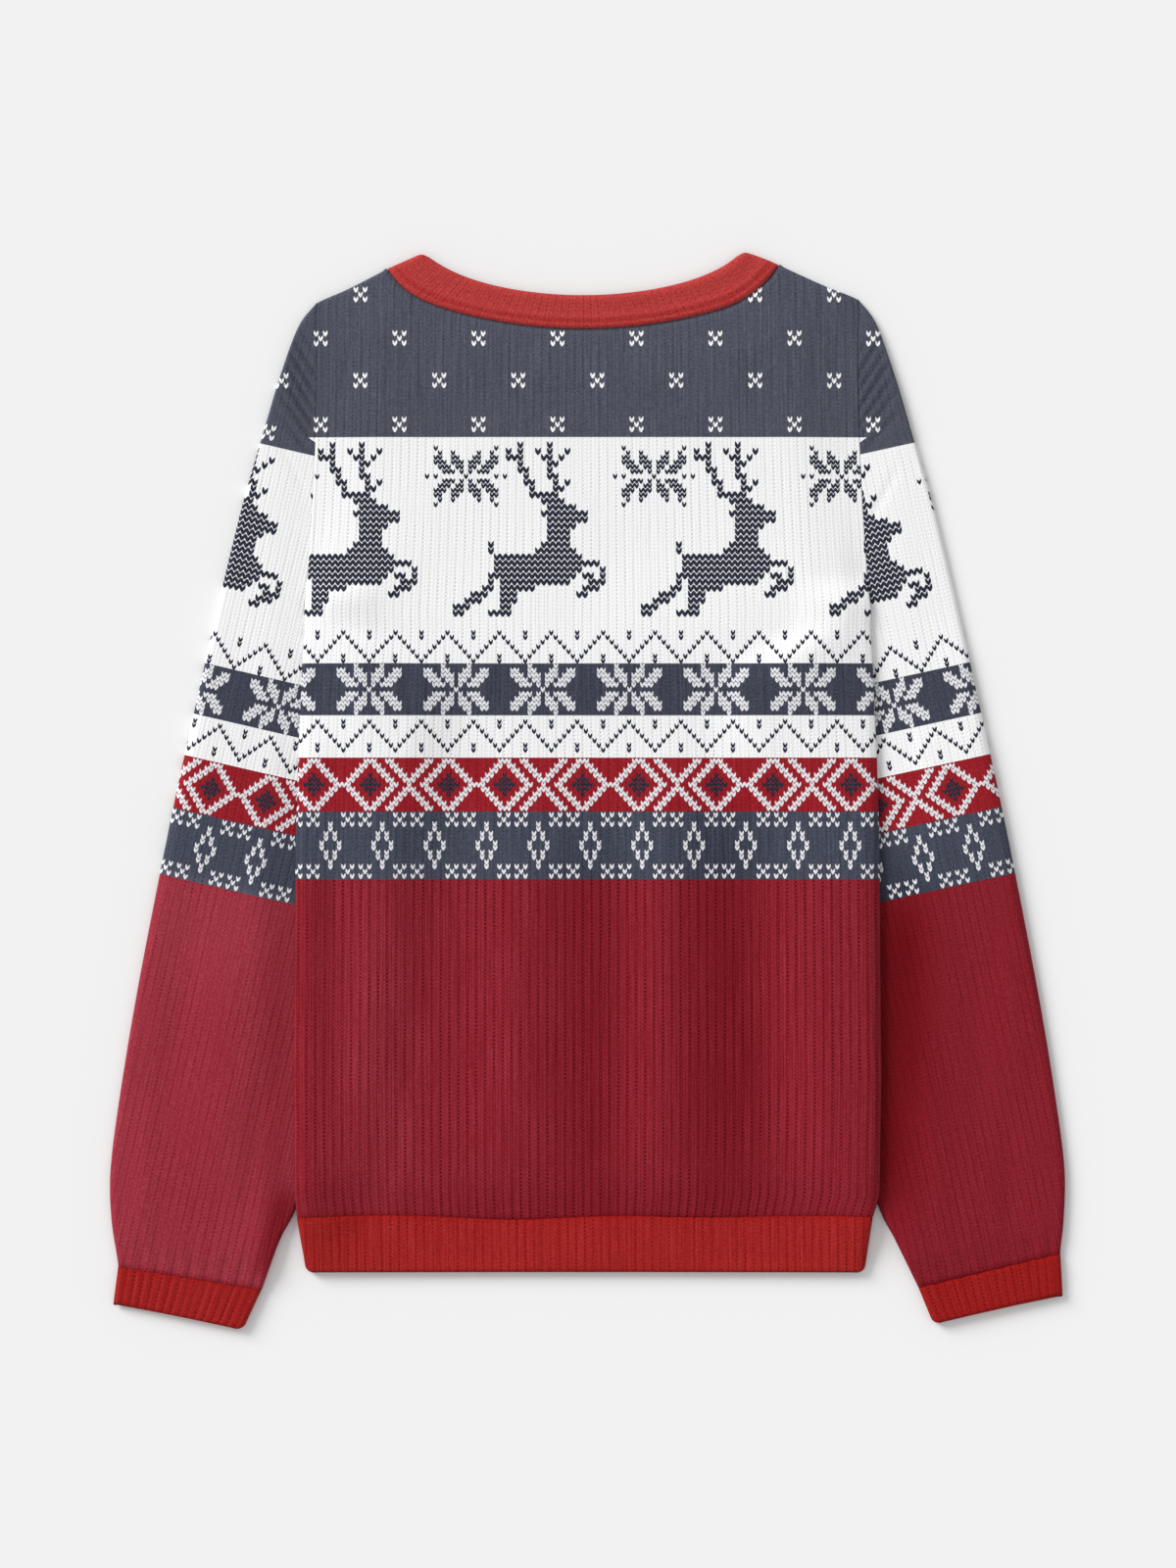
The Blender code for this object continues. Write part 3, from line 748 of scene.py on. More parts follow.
def band_maps(section, ribs, from_edge):
    """Knit and rib maps of a band: ribs are counted across it, courses along it."""
    knit = np.dstack([section.side * section.from_first, from_edge])
    return knit, np.dstack([ribs, from_edge / COURSE])


def band_walls(section, height, ribbed, round_over, end, relief=0.0):
    """The faces of a flattened band: its ribs fade out toward its folds, its seam and its edge."""
    ribbed = ribbed * round_over * np.clip(end * 1.5 - 0.5, 0.0, 1.0)
    relief = np.where(section.side < 0, -ribbed, ribbed + relief)
    centre = BAND_WALL + LAYER_GAP / 2
    return tube_walls(section, height, centre, BAND_WALL, round_over * end, relief)


def make_cuff(cuff, knit_of):
    """A ribbed cuff: a short flattened tube with a narrower free edge."""
    length = math.dist(cuff.top_inner, cuff.edge_inner)
    from_edge = band_rows((0.4, 0.8, 1.4, 2.2, 3.2), length - RIM_ROOM, CUFF_ROWS)[:, None]
    part = 1.0 - from_edge / length
    outer_fold = (1 - part) * np.array(cuff.top_outer) + part * np.array(cuff.edge_outer)
    inner_fold = (1 - part) * np.array(cuff.top_inner) + part * np.array(cuff.edge_inner)
    inner_fold = inner_fold + unit(outer_fold - inner_fold) * corner_inset(from_edge)
    section = lay_tube(outer_fold, inner_fold, np.zeros(len(part)), BAND_WALL, 110, 60)

    from_seam, to_edge = section.run, section.run[-1] - section.run
    round_over = rounding(section.from_first, 4.2) * rounding(section.from_second, 4.2)
    end = rounding(from_seam, 3.0, 0.45) * rounding(to_edge, 3.6, 0.25)
    width = section.from_first + section.from_second
    ribs = section.from_first / width * knit_of.ribs
    ribbed = rib_height(ribs, section.plan[..., 1] * 4.0, knit_of.depth, knit_of.even)
    outer, inner = band_walls(section, CUFF_HEIGHT, ribbed, round_over, end)
    knit, rib = band_maps(section, section.side * ribs, to_edge)
    # Painted shade along the seam under the sleeve's edge and along the folded free edge, and the
    # cuff's own painted shade.
    shade = 0.4 * bell(from_seam, 2.6) + 0.4 * bell(to_edge, 1.6) + knit_of.tone
    return make_cloth("cuff_%s_knit" % cuff.side, outer, inner, knit, rib, shade)


def make_hem():
    """The ribbed band round the body's lower edge, with a slightly wavy seam."""
    seam = HEM_SEAM_Y - SEAM - RIM_ROOM - HEM_EDGE_Y + HEM_RISE + HEM_SAG
    from_edge = band_rows((0.3, 0.7, 1.3, 2.2, 3.3), seam, HEM_ROWS)
    y = HEM_EDGE_Y - HEM_SAG + from_edge
    half, centre_x = body_half(y) - corner_inset(from_edge), body_centre(y)
    left, right = [np.stack([centre_x + sign * half, y], axis=1) for sign in (-1, 1)]
    section = lay_tube(left, right, np.zeros(len(y)), BAND_WALL, 330, 250)
    rise = np.clip((section.plan[..., 1] - HEM_EDGE_Y) / seam, 0.0, 1.0)
    for plan in (section.plan, section.inner):
        plan[..., 1] += hem_wave(plan[..., 0]) * rise ** 2

    x, y = section.plan[..., 0], section.plan[..., 1]
    from_seam, to_edge = section.run, section.run[-1] - section.run
    round_over = rounding(section.from_first, 5.0) * rounding(section.from_second, 5.0)
    end = rounding(from_seam, 3.0, 0.6) * rounding(to_edge, 3.4, 0.25)
    half_width = (section.from_first + section.from_second) / 2
    ribs = (section.side * section.from_first - half_width) / HEM_PITCH
    ribbed = rib_height(ribs, y * 3.0, 0.2, 0.3)
    height = HEM_HEIGHT + 0.8 * np.sin(x / 31.0 + 1.0) * smoothstep(to_edge / 12.0)
    outer, inner = band_walls(section, height, ribbed, round_over, end)
    for face in (outer, inner):
        face[..., 2] += lift(x, y)
    knit, rib = band_maps(section, ribs, to_edge)
    # Painted shade along the seam under the body and along the folded lower edge.
    shade = 0.5 * bell(from_seam, 2.6) + 0.4 * bell(to_edge, 1.5)
    return make_cloth("hem_band_knit", outer, inner, knit, rib, shade)


# The last number of each is painted shade, deeper on the right cuff.
left_cuff = make_cuff(CUFFS[0], CuffKnit(16, 0.62, 0.7, 0.1))
right_cuff = make_cuff(CUFFS[1], CuffKnit(17, 0.24, 0.3, 0.36))
hem = make_hem()
for piece in (left_cuff, right_cuff, hem):
    report(piece)

# %% Shape the neckband
NECK_ROWS = 16
NECK_HEIGHT = 6.0
NECK_CORNER = 7.0         # radius of the ring's two upper corners
CORNER_SLOPE = 0.83       # slope of its free edge beside them
NECK_LINK = 4.8           # how far up from its lower edge the linked seam lies
NECK_RIDGE = 7.0          # and the ridge above it
NECK_TONE = -0.78         # its knit is paler than the other bands'


def round_corner(x, y):
    """Draw the plan's points in behind the round upper corners of the neckband."""
    for sign in (-1, 1):
        corner = np.array((NECK_CENTRE_X + sign * NECK_OPEN_HALF, NECK_OPEN_TOP))
        along_fold = unit(np.array((sign * (NECK_SEAM_HALF - NECK_OPEN_HALF),
                                    NECK_SEAM_TOP - NECK_OPEN_TOP)))
        along_edge = unit(np.array((-sign, -CORNER_SLOPE)))
        bisector = unit(along_fold + along_edge)
        half_angle = math.acos(float(along_fold @ bisector))
        centre = corner + bisector * NECK_CORNER / math.sin(half_angle)
        away_x, away_y = x - centre[0], y - centre[1]
        distance = np.maximum(np.hypot(away_x, away_y), 1e-6)
        ahead = -(away_x * bisector[0] + away_y * bisector[1]) / distance
        drawn = (ahead > math.sin(half_angle)) & (distance > NECK_CORNER)
        factor = np.where(drawn, NECK_CORNER / distance, 1.0)
        x, y = centre[0] + away_x * factor, centre[1] + away_y * factor
    return x, y


def make_neckband():
    """The ribbed ring round the neck: its back half on top, its deeper front half under it."""
    over = np.sin(np.radians(np.linspace(-90.0, 90.0, 221)))
    t = np.concatenate([over[::-1][::2], over[1:]])
    side = np.concatenate([np.full(len(over[::2]), -1.0), np.ones(len(over) - 1)])
    width = BACK_OPEN_LOW - BACK_SEAM_LOW
    from_seam = np.concatenate([np.linspace(RIM_ROOM, width - 2.6, NECK_ROWS),
                                width - np.array((1.6, 0.8, 0.2, -0.3))])[:, None]
    part = (from_seam / width)[..., None]
    halves = {}
    for half in ("back", "front"):
        seam = np.stack(neck_curve(half + " seam", t), axis=1)
        opening = np.stack(neck_curve(half + " opening", t), axis=1)
        halves[half] = (1 - part) * seam + part * opening
    end_gap = (1.0 - np.abs(t)) * NECK_OPEN_HALF
    plan = np.where(side[:, None] > 0, halves["back"], halves["front"])
    under = plan.copy()
    under[..., 0] -= np.sign(t) * BAND_WALL * bell(end_gap, 2.0)
    for points in (plan, under):
        points[..., 0], points[..., 1] = settled(*round_corner(points[..., 0], points[..., 1]))
    run = np.broadcast_to(from_seam, plan.shape[:2])
    section = Section(plan, under, end_gap, end_gap, side, run)

    to_edge = run[-1] - run
    round_over = np.broadcast_to(rounding(end_gap, 2.6), run.shape)
    end = rounding(run - RIM_ROOM, 2.2, 0.72) * rounding(to_edge, 3.8, 0.2)
    arc = np.cumsum(np.append(0.0, np.linalg.norm(np.diff(plan[0], axis=0), axis=1)))
    arc = np.broadcast_to(arc, run.shape)
    ribs = arc / RIB_PITCH
    middle = bell(t * NECK_OPEN_HALF + 20.0, 40.0)
    ribbed = rib_height(ribs, plan[..., 1], 0.05 + 0.12 * middle)
    ridge = 0.5 * bell(run - NECK_RIDGE, 1.7) - 0.4 * bell(run - NECK_LINK, 1.1)
    relief = (ridge + 0.6 * bell(to_edge - 4.0, 4.0)) * round_over
    outer, inner = band_walls(section, NECK_HEIGHT, ribbed, round_over, end, relief)
    knit, rib = np.dstack([arc, run]), np.dstack([ribs, run / COURSE + SOFT_COURSES])
    # Painted shade along the linked seam's groove; the tone makes the knit itself paler.
    shade = 0.4 * bell(run - NECK_LINK, 1.0) + NECK_TONE
    return make_cloth("neckband_knit", outer, inner, knit, rib, shade)


neck = make_neckband()
report(neck)

# %% [markdown]
# ## Shader arithmetic
#
# A shader is a graph of nodes, and a sum of two sockets takes three lines of Python. The class
# below wraps one socket and gives it the usual operators, so that a pattern reads as arithmetic.
# Any other node goes through its method `node`: settings first, then the inputs.

# %% Wrap a socket
class Wire:
    """One output socket of a shader node, with arithmetic."""

    def __init__(self, tree, socket):
        self.tree = tree
        self.socket = socket

    def node(self, kind, inputs, output=0, **settings):
        """Add a node, set it up, fill or link its inputs and return one of its outputs."""
        node = self.tree.nodes.new("ShaderNode" + kind)
        stops = settings.pop("stops", None)
        for name, value in settings.items():
            setattr(node, name, value)
        if stops:
            ramp = node.color_ramp
            ramp.interpolation = "CONSTANT"
            while len(ramp.elements) < len(stops):
                ramp.elements.new(1.0)
            for element, (place, colour) in zip(ramp.elements, stops):
                element.position = place
                element.color = (*colour, 1.0)
        for name, value in inputs.items():
            if isinstance(value, Wire):
                self.tree.links.new(value.socket, node.inputs[name])
            else:
                node.inputs[name].default_value = value
        return Wire(self.tree, node.outputs[output])

    def math(self, operation, *others):
        """A Math node with this socket first."""
        return self.node("Math", dict(enumerate((self, *others))), operation=operation)

    def __add__(self, other):
        return self.math("ADD", other)

    def __sub__(self, other):
        return self.math("SUBTRACT", other)

    def __rsub__(self, other):
        return self.node("Math", {0: other, 1: self}, operation="SUBTRACT")

    def __mul__(self, other):
        return self.math("MULTIPLY", other)

    def __truediv__(self, other):
        return self.math("DIVIDE", other)

    def __pow__(self, other):
        return self.math("POWER", other)

    def __rpow__(self, other):
        return self.node("Math", {0: other, 1: self}, operation="POWER")

    def __mod__(self, other):
        return self.math("FLOORED_MODULO", other)

    def __abs__(self):
        return self.math("ABSOLUTE")

    def __floor__(self):
        return self.math("FLOOR")

    def above(self, other):
        """1 where this is greater than the other, else 0."""
        return self.math("GREATER_THAN", other)

    def below(self, other):
        """1 where this is less than the other, else 0."""
        return self.math("LESS_THAN", other)

    def clamped(self):
        """This, kept between 0 and 1."""
        return self.node("Clamp", {0: self})

    def wave(self, phase=0.0):
        """A cosine between 0 and 1 that is 1 at whole numbers."""
        return ((self + phase) * (2 * math.pi)).math("COSINE") * 0.5 + 0.5

    __radd__ = __add__
    __rmul__ = __mul__


def blend(share, low, high):
    """Mix two colours by a share."""
    return share.node("Mix", {0: share, 6: low, 7: high}, output=2, data_type="RGBA")


print("operators:", sum(name.startswith("__") for name in vars(Wire)))

# %% [markdown]
# ## Charts and stitches
#
# Knitters draw a pattern as a chart, with a mark for each stitch in the second colour. Each chart
# below is a small drawing of text. A colour ramp with constant steps holds it in the shader: one
# stop for a row, and each of its channels packs twelve stitches as the bits of one number. A
# traditional star is the same in all four quarters, so its chart holds one of them and is folded.
# Each marked stitch is a V, as stocking stitch is, and its slanted arms reach into the next row.

# %% The charts
DEER = """
...........x....x..........
.........x.x..x.x..x.......
.........xxx...xx.x........
...........x....xx.........
...........xx...x..........
............x...xx.........
............xx...x.x.......
.............x...xx........
.............xxxxx.........
...............xxxx........
................xxxxx......
...............xxxxxxxx....
................xxxxxxx....
................xxxxx......
................xxxx.......
................xxxx.......
......x........xxxxx.......
......x.......xxxxxxx......
.......xxxxxxxxxxxxxxx.....
.......xxxxxxxxxxxxxxxxxx..
.......xxxxxxxxxxxxxxx...x.
......xxxxxxxxxxxxxxx.xx.x.
......x.xxxxxxxxxxxx...xxx.
.....xx.xxxxxx........xxx..
...xxx..xxx..........xx....
..xxx...xxx................
xxx.....xx.................
xx....xxxx.................
"""
FLAKE = """
.......x..
...x..x...
..xx..xx..
.xxx.xxx..
.xx.xxx...
.x.xxx....
x......x.x
"""
STAR = """
...x....
..xx..xx
.xxx.xxx
.xx.xxx.
.x.xxx..
x.......
"""
ZIGZAG = """
x.....x
x....x.
....x..
...x...
..x....
.x....x
x.....x
"""
DIAMONDS = """
.x.x...
..x....
.x.x..x
......x
.....x.
.....x.
....x..
....x..
.....x.
.....x.
......x
.x.x..x
..x....
.x.x...
"""
LOZENGE = """
....xx..xxx.....
...xx..xx.xx....
..xx..xx...xx...
.xx..xx.....xx..
xx..xx.......xx.
x..xx.........xx
"""
LOZENGE_HEART = """
.........x.......
........xxx......
.......xxxxx.....
"""
SEED = """
.x
x.
"""

FINE = (2.8654, 3.12)     # width and height of one stitch of most charts
COARSE = (3.9, 4.13)
SEED_STITCH = (3.05, 3.25)
Motif = namedtuple("Motif", "chart stitch x y period mirrored")
# x and y are the motif's middle along an axis in which it is mirrored, else its lower left corner.
MOTIFS = {
    "seed": Motif(SEED, SEED_STITCH, -177.1, 300.3, (52.39, 57.2), "xy"),
    "seed between": Motif(SEED, SEED_STITCH, -203.1, 329.5, (52.39, 57.2), "xy"),
    "deer": Motif(DEER, COARSE, -89.4, 115.8, (124.67, 0), ""),
    "flake": Motif(FLAKE, FINE, -80.6, 208.65, (124.67, 0), "xy"),
    "zigzag over": Motif(ZIGZAG, FINE, -178.75, 84.6, (34.385, 0), "x"),
    "star": Motif(STAR, FINE, -144.43, 67.3, (57.4, 0), "xy"),
    "zigzag under": Motif(ZIGZAG, FINE, -161.56, 25.6, (34.385, 0), "x"),
    "lozenge": Motif(LOZENGE, FINE, -118.0, 4.2, (88.83, 0), "xy"),
    "heart": Motif(LOZENGE_HEART, FINE, -118.0, 4.2, (88.83, 0), "xy"),
    "diamonds": Motif(DIAMONDS, FINE, -152.9, -57.9, (34.385, 0), "x"),
}


def chart_rows(chart):
    """A chart's rows from the bottom up."""
    return chart.split()[::-1]


CHANNEL = 12              # stitches that one channel of a ramp's colour holds
STITCH_SLANT = 0.56       # how far the arms of a V rise from its middle to its sides, in rows


def stitch_shape(side, part):
    """An arm of a V: side is 0 at its middle and 1 at its edge, part runs from 0 to 1 up it."""
    wide = ((side - 0.46) / 0.83) ** 2.0
    high = ((part - 0.5) / 0.465) ** 2.0
    return ((1.0 - wide - high) * 5.0).clamped()


def has_stitch(chart, row, column):
    """1 where the chart has a mark; blocks of twelve columns lie in a ramp's channels."""
    rows = chart_rows(chart)
    wide = max(len(line) for line in rows)
    stops = []
    for index, line in enumerate(rows):
        blocks = [line[start:start + CHANNEL] for start in (0, CHANNEL, 2 * CHANNEL)]
        codes = [sum(2 ** k for k, mark in enumerate(block) if mark == "x") for block in blocks]
        stops.append((index / len(rows), [code / 2 ** CHANNEL for code in codes]))
    packed = row.node("ValToRGB", {0: (row + 0.5) / len(rows)}, stops=stops)
    block = math.floor(column / CHANNEL)
    code = packed.node("SeparateColor", {0: packed}, output=0)
    for channel in range(1, math.ceil(wide / CHANNEL)):
        here = abs(block - channel).below(0.5)
        other = packed.node("SeparateColor", {0: packed}, output=channel)
        code = code * (1.0 - here) + other * here
    bit = column - block * CHANNEL
    marked = math.floor((code * 2 ** CHANNEL + 0.5) / 2.0 ** bit) % 2.0
    inside = row.above(-0.5) * row.below(len(rows) - 0.5)
    return marked * inside * column.above(-0.5) * column.below(wide - 0.5)


def motif_mask(motif, u, v):
    """Where a repeated motif has its stitches; u and v are in millimetres."""
    cells = []
    for wire, start, size, period, axis in zip((u, v), (motif.x, motif.y), motif.stitch,
                                               motif.period, "xy"):
        middle = period / 2 if axis in motif.mirrored else 0.0
        place = wire - start
        if axis == "y":
            side = abs(cells[0][1] - 0.5) * 2.0
            place = place - (side - 0.5) * (STITCH_SLANT * size)
        if period:
            place = (place + middle) % period - middle
        cell = place / size
        if axis in motif.mirrored:
            cell = cell + 0.5
        whole = math.floor(cell)
        part = cell - whole
        cells.append((abs(whole) if axis in motif.mirrored else whole, part))
    (column, _), (row, part) = cells
    return has_stitch(motif.chart, row, column) * stitch_shape(side, part)


for name, motif in MOTIFS.items():
    print(name, len(chart_rows(motif.chart)), "rows", motif.chart.count("x"), "marked stitches")

# %% [markdown]
# ## Two finishes
#
# The patterned knit has bands of slate, white, deep red and crimson. Edges of the bands are crisp,
# so they come from comparisons. The stitches lie over them, each motif in its own band. On top of
# the colours come painted shade in the valleys between the ribs with a row of small painted
# shadows, the painted light and shade of the Shade attribute, a fuzz of fibres, and a fine relief
# of stitches.
# The brick rib of the bands is plain.

# %% Colours and the patterned knit
LIGHT_GAIN = 1.05         # a flat white piece comes out this much brighter than its colour


def paint(red, green, blue):
    """A colour that comes out as these screen values."""
    linear = [((part / 255 + 0.055) / 1.055) ** 2.4 for part in (red, green, blue)]
    return (*[value / LIGHT_GAIN for value in linear], 1.0)


SLATE = paint(80, 83, 95)
STAR_SLATE = paint(66, 69, 82)
NAVY = paint(70, 73, 87)
WHITE = paint(243, 243, 244)
SNOW = paint(226, 226, 230)
CRIMSON = paint(140, 35, 47)
DEEP_RED = paint(150, 30, 40)
CHARCOAL = paint(42, 45, 60)
BRICK = paint(160, 36, 34)
BLACK = (0.0, 0.0, 0.0, 1.0)
STITCH_RELIEF = 0.0003    # metres

# The body's white laps over a sleeve in a small wedge at the armhole: its height on the middle
# line, and how it slopes up to the sides.
WEDGE = 101.2
WEDGE_SLOPE = 0.72

# The lower edges of the bands.
NAVY_LOW = -58.5
RED_LOW = -13.65
UNDER_LOW = 22.1
STAR_LOW = 50.05
DEER_LOW = 84.5
SLATE_LOW = 234.65
SEED_TOP = 256.0          # only the seeds below here also follow a sleeve's slanted map

Band = namedtuple("Band", "low colour")
BANDS = [
    Band(NAVY_LOW, NAVY),
    Band(RED_LOW, DEEP_RED),
    Band(UNDER_LOW, WHITE),
    Band(STAR_LOW, STAR_SLATE),
    Band(DEER_LOW, WHITE),
    Band(SLATE_LOW, SLATE),
]
Layer = namedtuple("Layer", "motif colour low high")
LAYERS = [
    Layer("seed", WHITE, SLATE_LOW, SEED_TOP),
    Layer("deer", CHARCOAL, DEER_LOW, SLATE_LOW),
    Layer("flake", CHARCOAL, DEER_LOW, SLATE_LOW),
    Layer("zigzag over", CHARCOAL, DEER_LOW, SLATE_LOW),
    Layer("star", SNOW, STAR_LOW, DEER_LOW),
    Layer("zigzag under", CHARCOAL, UNDER_LOW, STAR_LOW),
    Layer("lozenge", SNOW, RED_LOW, UNDER_LOW),
    Layer("heart", CHARCOAL, RED_LOW, UNDER_LOW),
    Layer("diamonds", SNOW, NAVY_LOW, RED_LOW),
]

YARN = {"Metallic": 0.0, "Specular IOR Level": 0.06, "Sheen Weight": 0.01, "Sheen Roughness": 0.6}
FIBRES = 620.0            # scales of the noise, to a metre
PATCHES = 38.0
VALLEY_POWER = 14.0       # the higher, the narrower the painted shade in the valleys between the ribs
DRIFT = 0.37              # the small shadows climb by this part of a course from rib to rib


def start_material(name):
    """A new material's tree and its Principled shader."""
    material = bpy.data.materials.new(name)
    material.use_nodes = True
    tree = material.node_tree
    shader = tree.nodes["Principled BSDF"]
    for socket, value in YARN.items():
        shader.inputs[socket].default_value = value
    return material, tree, shader


def split_map(tree, name):
    """The two coordinates of a UV map."""
    map_node = tree.nodes.new("ShaderNodeUVMap")
    map_node.uv_map = name
    place = Wire(tree, map_node.outputs[0])
    return [place.node("SeparateXYZ", {0: place}, output=axis) for axis in (0, 1)]


def position_of(tree):
    """Object coordinates."""
    return Wire(tree, tree.nodes.new("ShaderNodeTexCoord").outputs["Object"])


def finish_knit(tree, shader, colour, rib, course, marks, pit_shade, darkening, streaks, fuzz):
    """Painted shade in the valleys, fibres, the Shade attribute's tones with their painted light
    and shade, and the relief of the stitches; a power above 1 deepens a colour.
    """
    place = position_of(tree)
    fibre = place.node("TexNoise", {"Vector": place, "Scale": FIBRES, "Detail": 2.0,
                                    "Roughness": 0.75})
    patches = place.node("TexNoise", {"Vector": place, "Scale": PATCHES, "Detail": 3.0})
    lane = rib.node("CombineXYZ", {0: rib * 3.6, 1: course * 0.05})
    streak = lane.node("TexNoise", {"Vector": lane, "Scale": 1.0, "Detail": 2.0})
    valley = rib.wave() ** VALLEY_POWER
    drift = math.floor(rib + 0.5) * DRIFT
    holes = (course + drift).wave() ** 1.6
    uneven = (patches * 4.0 - 1.3).clamped()
    between = (rib * 3.0 + 0.5).wave() ** 6.0 * (course + drift + 0.5).wave()
    # Painted shade: dark dots in the valleys between the ribs and fainter ones between the valleys;
    # they also sink the relief.
    pits_and_their_shade = valley * holes * (uneven * 0.8 + 0.2) + between * (0.55 - uneven * 0.4)
    # The Shade attribute: painted shade at seams, edges and creases, painted light and shade across
    # folds and sleeves, and the neckband's paler knit.
    tone = Wire(tree, tree.nodes.new("ShaderNodeAttribute").outputs["Fac"])
    tone.socket.node.attribute_name = "Shade"
    power = 1.0 + (0.5 - fibre) * fuzz + (0.5 - streak) * streaks + tone * 0.3
    # The pits' painted shade deepens the colour, and darkening paints it nearer black.
    power = power + pits_and_their_shade * pit_shade
    deepened = power.node("Gamma", {0: colour, 1: power})
    deepened = blend(pits_and_their_shade * darkening, deepened, BLACK)
    tree.links.new(deepened.socket, shader.inputs["Base Color"])
    rough = 0.82 + (fibre - 0.5) * 0.2
    tree.links.new(rough.socket, shader.inputs["Roughness"])
    slant = abs((rib * 2.0) % 1.0 - 0.5) * 0.8
    stitches = (course + slant).wave() * 0.22 + (rib * 2.0 + 0.5).wave() * 0.2
    relief = stitches + fibre * 0.6 - pits_and_their_shade + marks * 0.5
    bump = relief.node("Bump", {"Height": relief, "Strength": 1.0, "Distance": STITCH_RELIEF})
    tree.links.new(bump.socket, shader.inputs["Normal"])


def patterned_knit():
    """The knit of the body and the sleeves, with all its bands and motifs."""
    material, tree, shader = start_material("patterned_knit")
    u, v = [part * 1000.0 for part in split_map(tree, "Knit")]
    rib, course = split_map(tree, "Rib")
    colour = CRIMSON
    for band in BANDS:
        colour = blend(v.above(band.low), colour, band.colour)
    place = position_of(tree)
    x, y = [place.node("SeparateXYZ", {0: place}, output=axis) * 1000.0 for axis in (0, 1)]
    wedge = (y - abs(x) * WEDGE_SLOPE).above(WEDGE) * y.below(SLATE_LOW) * v.above(DEER_LOW)
    colour = blend(wedge, colour, WHITE)
    marks = 0.0
    for layer in LAYERS:
        mask = motif_mask(MOTIFS[layer.motif], u, v) * v.above(layer.low) * v.below(layer.high)
        colour = blend(mask, colour, layer.colour)
        marks = mask + marks
    for name in ("seed", "seed between"):
        mask = motif_mask(MOTIFS[name], x, y) * v.above(SLATE_LOW) * y.above(SLATE_LOW)
        colour = blend(mask, colour, WHITE)
        marks = mask + marks
    on_body = course.below(SOFT_COURSES / 2)
    # Painted shade in the pits: most in the body's crimson, less on the sleeves.
    pit_shade = v.below(NAVY_LOW) * (on_body * 0.7 + 0.2) + 0.1
    darkening = (on_body * 0.14 + 0.08) * (1.0 - marks * 0.7)
    streaks = on_body * 0.2 + 0.16
    finish_knit(tree, shader, colour, rib, course, marks, pit_shade, darkening, streaks, 0.5)
    print("patterned knit:", len(tree.nodes), "nodes")
    return material


def brick_rib():
    """The plain doubled rib of the bands."""
    material, tree, shader = start_material("brick_rib")
    rib, course = split_map(tree, "Rib")
    firm = course.below(SOFT_COURSES / 2) * 0.8 + 0.2
    # The bands' pits get painted shade too, fainter on the neckband.
    finish_knit(tree, shader, BRICK, rib, course, 0.0, firm * 0.5, firm * 0.16, firm * 0.4, 0.55)
    print("brick rib:", len(tree.nodes), "nodes")
    return material


knit_material = patterned_knit()
rib_material = brick_rib()

# %% [markdown]
# ## Put each piece in place of its node
#
# Each shell stands for one node of the frame, whose plain wall is hidden, and takes one of two
# finishes by its slot's name. Each is a sheet that lies flat, and the table gives its flat size:
# what the piece measures before it is sewn; on a tube, that is the whole width round it.

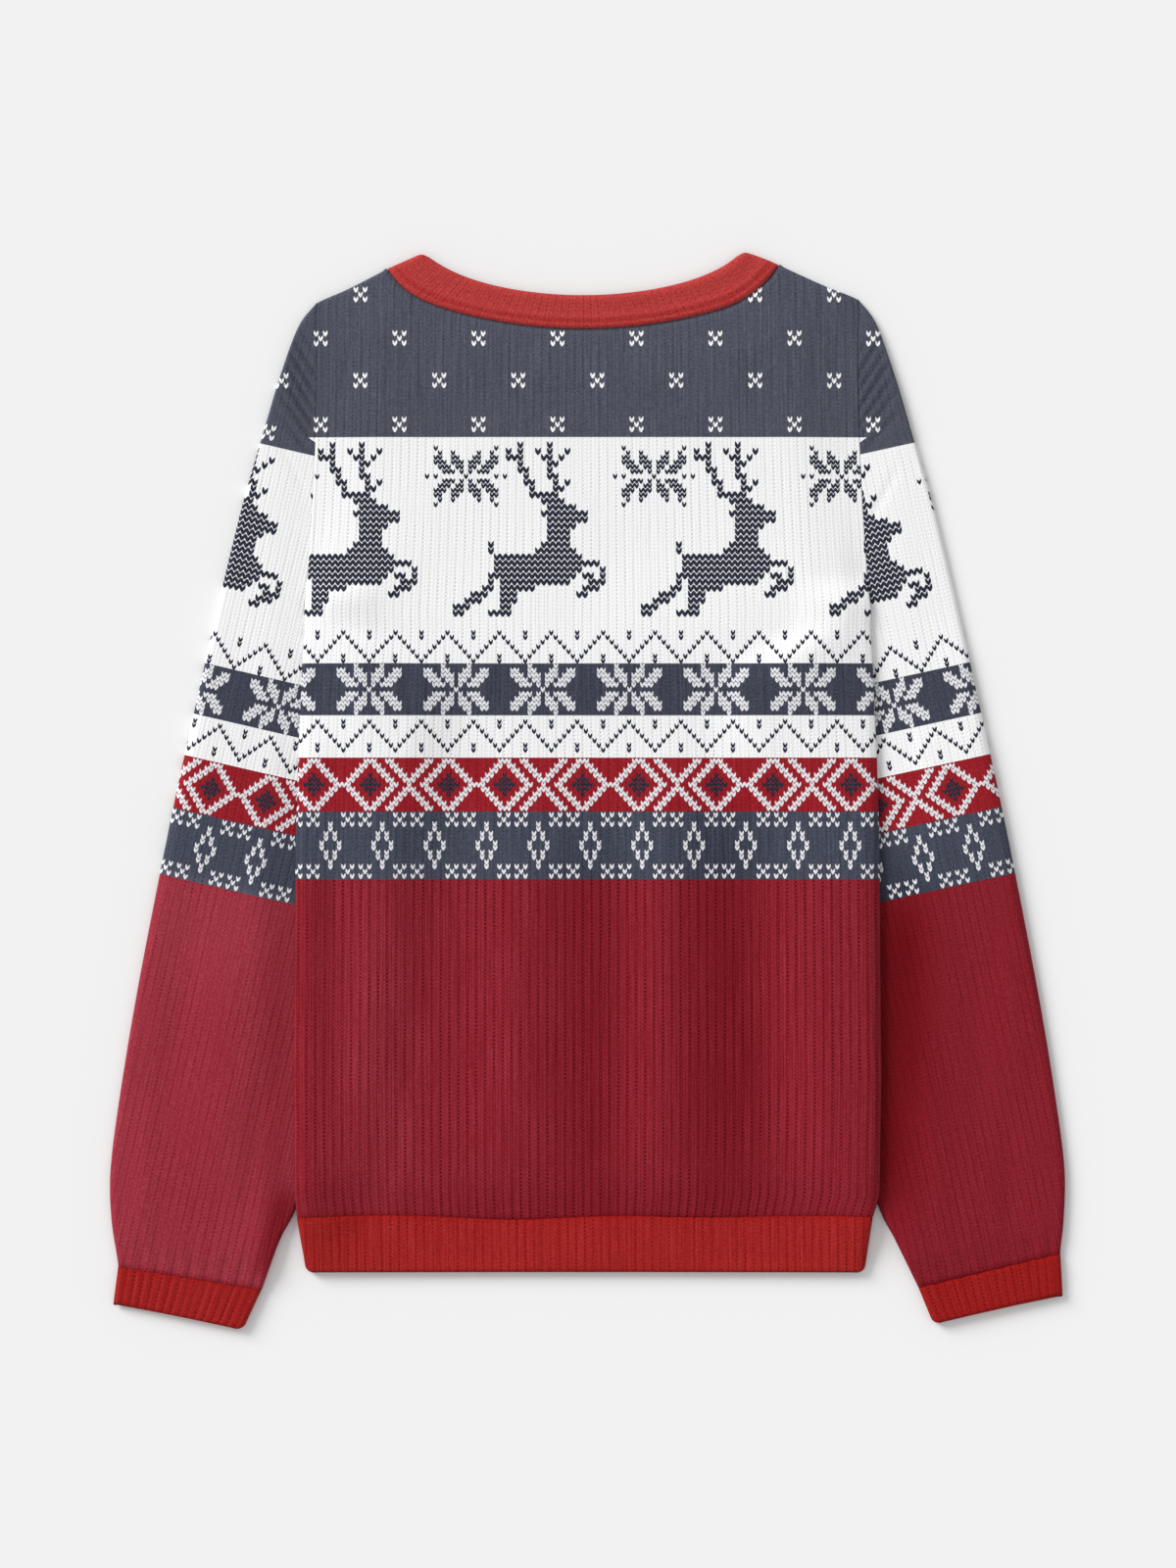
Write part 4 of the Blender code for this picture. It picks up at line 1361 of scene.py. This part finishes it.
# %% Ride, replace and finish
Cut = namedtuple("Cut", "piece node slot width length area rests_on")
CUTS = [
    Cut(back, "back_panel", "patterned_knit", 0.390, 0.630, 0.226, [front]),
    Cut(front, "front_panel", "patterned_knit", 0.390, 0.630, 0.2125, []),
    Cut(left_sleeve, "sleeve_left", "patterned_knit", 0.275, 0.650, 0.1275, []),
    Cut(right_sleeve, "sleeve_right", "patterned_knit", 0.275, 0.650, 0.1275, []),
    Cut(neck, "neckband", "brick_rib", 0.620, 0.025, None, []),
    Cut(hem, "hem_band", "brick_rib", 0.750, 0.036, None, []),
    Cut(left_cuff, "cuff_left", "brick_rib", 0.190, 0.029, None, []),
    Cut(right_cuff, "cuff_right", "brick_rib", 0.190, 0.029, None, []),
]
FINISHES = {"patterned_knit": knit_material, "brick_rib": rib_material}

floor_size = 14.0
bpy.ops.mesh.primitive_plane_add(size=floor_size, location=(0.0, 0.0, -0.0002))
floor = bpy.context.active_object
floor.name = "floor"
floor.select_set(False)

for cut in CUTS:
    cut.piece.data.materials.clear()
    cut.piece.data.materials.append(FINISHES[cut.slot])
    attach(cut.piece, "root")
    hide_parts(cut.node)
print("declared", len(CUTS), "sheets")

# %% [markdown]
# ## Floor, light and camera
#
# The floor is nearly white and the light is soft, from the upper left: a broad sun and an even sky.
# The camera looks straight down through a long lens.

# %% Stage
SKY = 0.625
SUN = 2.906
SUN_DIRECTION = (0.67, -0.588, -0.454)
SUN_ANGLE = 28.0          # degrees: a broad sun has soft shadows
CAMERA_PLACE = (0.0003, 0.0046, 2.462)
LENS = 85.0

floor_material = bpy.data.materials.new("floor")
floor_material.use_nodes = True
floor_shader = floor_material.node_tree.nodes["Principled BSDF"]
floor_shader.inputs["Base Color"].default_value = (0.85, 0.85, 0.85, 1.0)
floor_shader.inputs["Roughness"].default_value = 1.0
floor_shader.inputs["Specular IOR Level"].default_value = 0.0
floor.data.materials.append(floor_material)

world = bpy.data.worlds.new("sky")
bpy.context.scene.world = world
world.use_nodes = True
background = world.node_tree.nodes["Background"]
background.inputs["Color"].default_value = (1.0, 1.0, 1.0, 1.0)
background.inputs["Strength"].default_value = SKY

bpy.ops.object.light_add(type="SUN", location=(-1.0, 1.0, 2.0))
sun = bpy.context.active_object
sun.name = "sun"
sun.data.energy = SUN
sun.data.angle = math.radians(SUN_ANGLE)
sun.rotation_euler = Vector(SUN_DIRECTION).to_track_quat("-Z", "Y").to_euler()

bpy.ops.object.camera_add(location=CAMERA_PLACE)
camera = bpy.context.active_object
camera.data.lens = LENS
camera.data.sensor_width = 36.0
camera.data.clip_start = 0.05
bpy.context.scene.camera = camera
bpy.context.scene.view_settings.view_transform = "Standard"
bpy.ops.object.select_all(action="DESELECT")
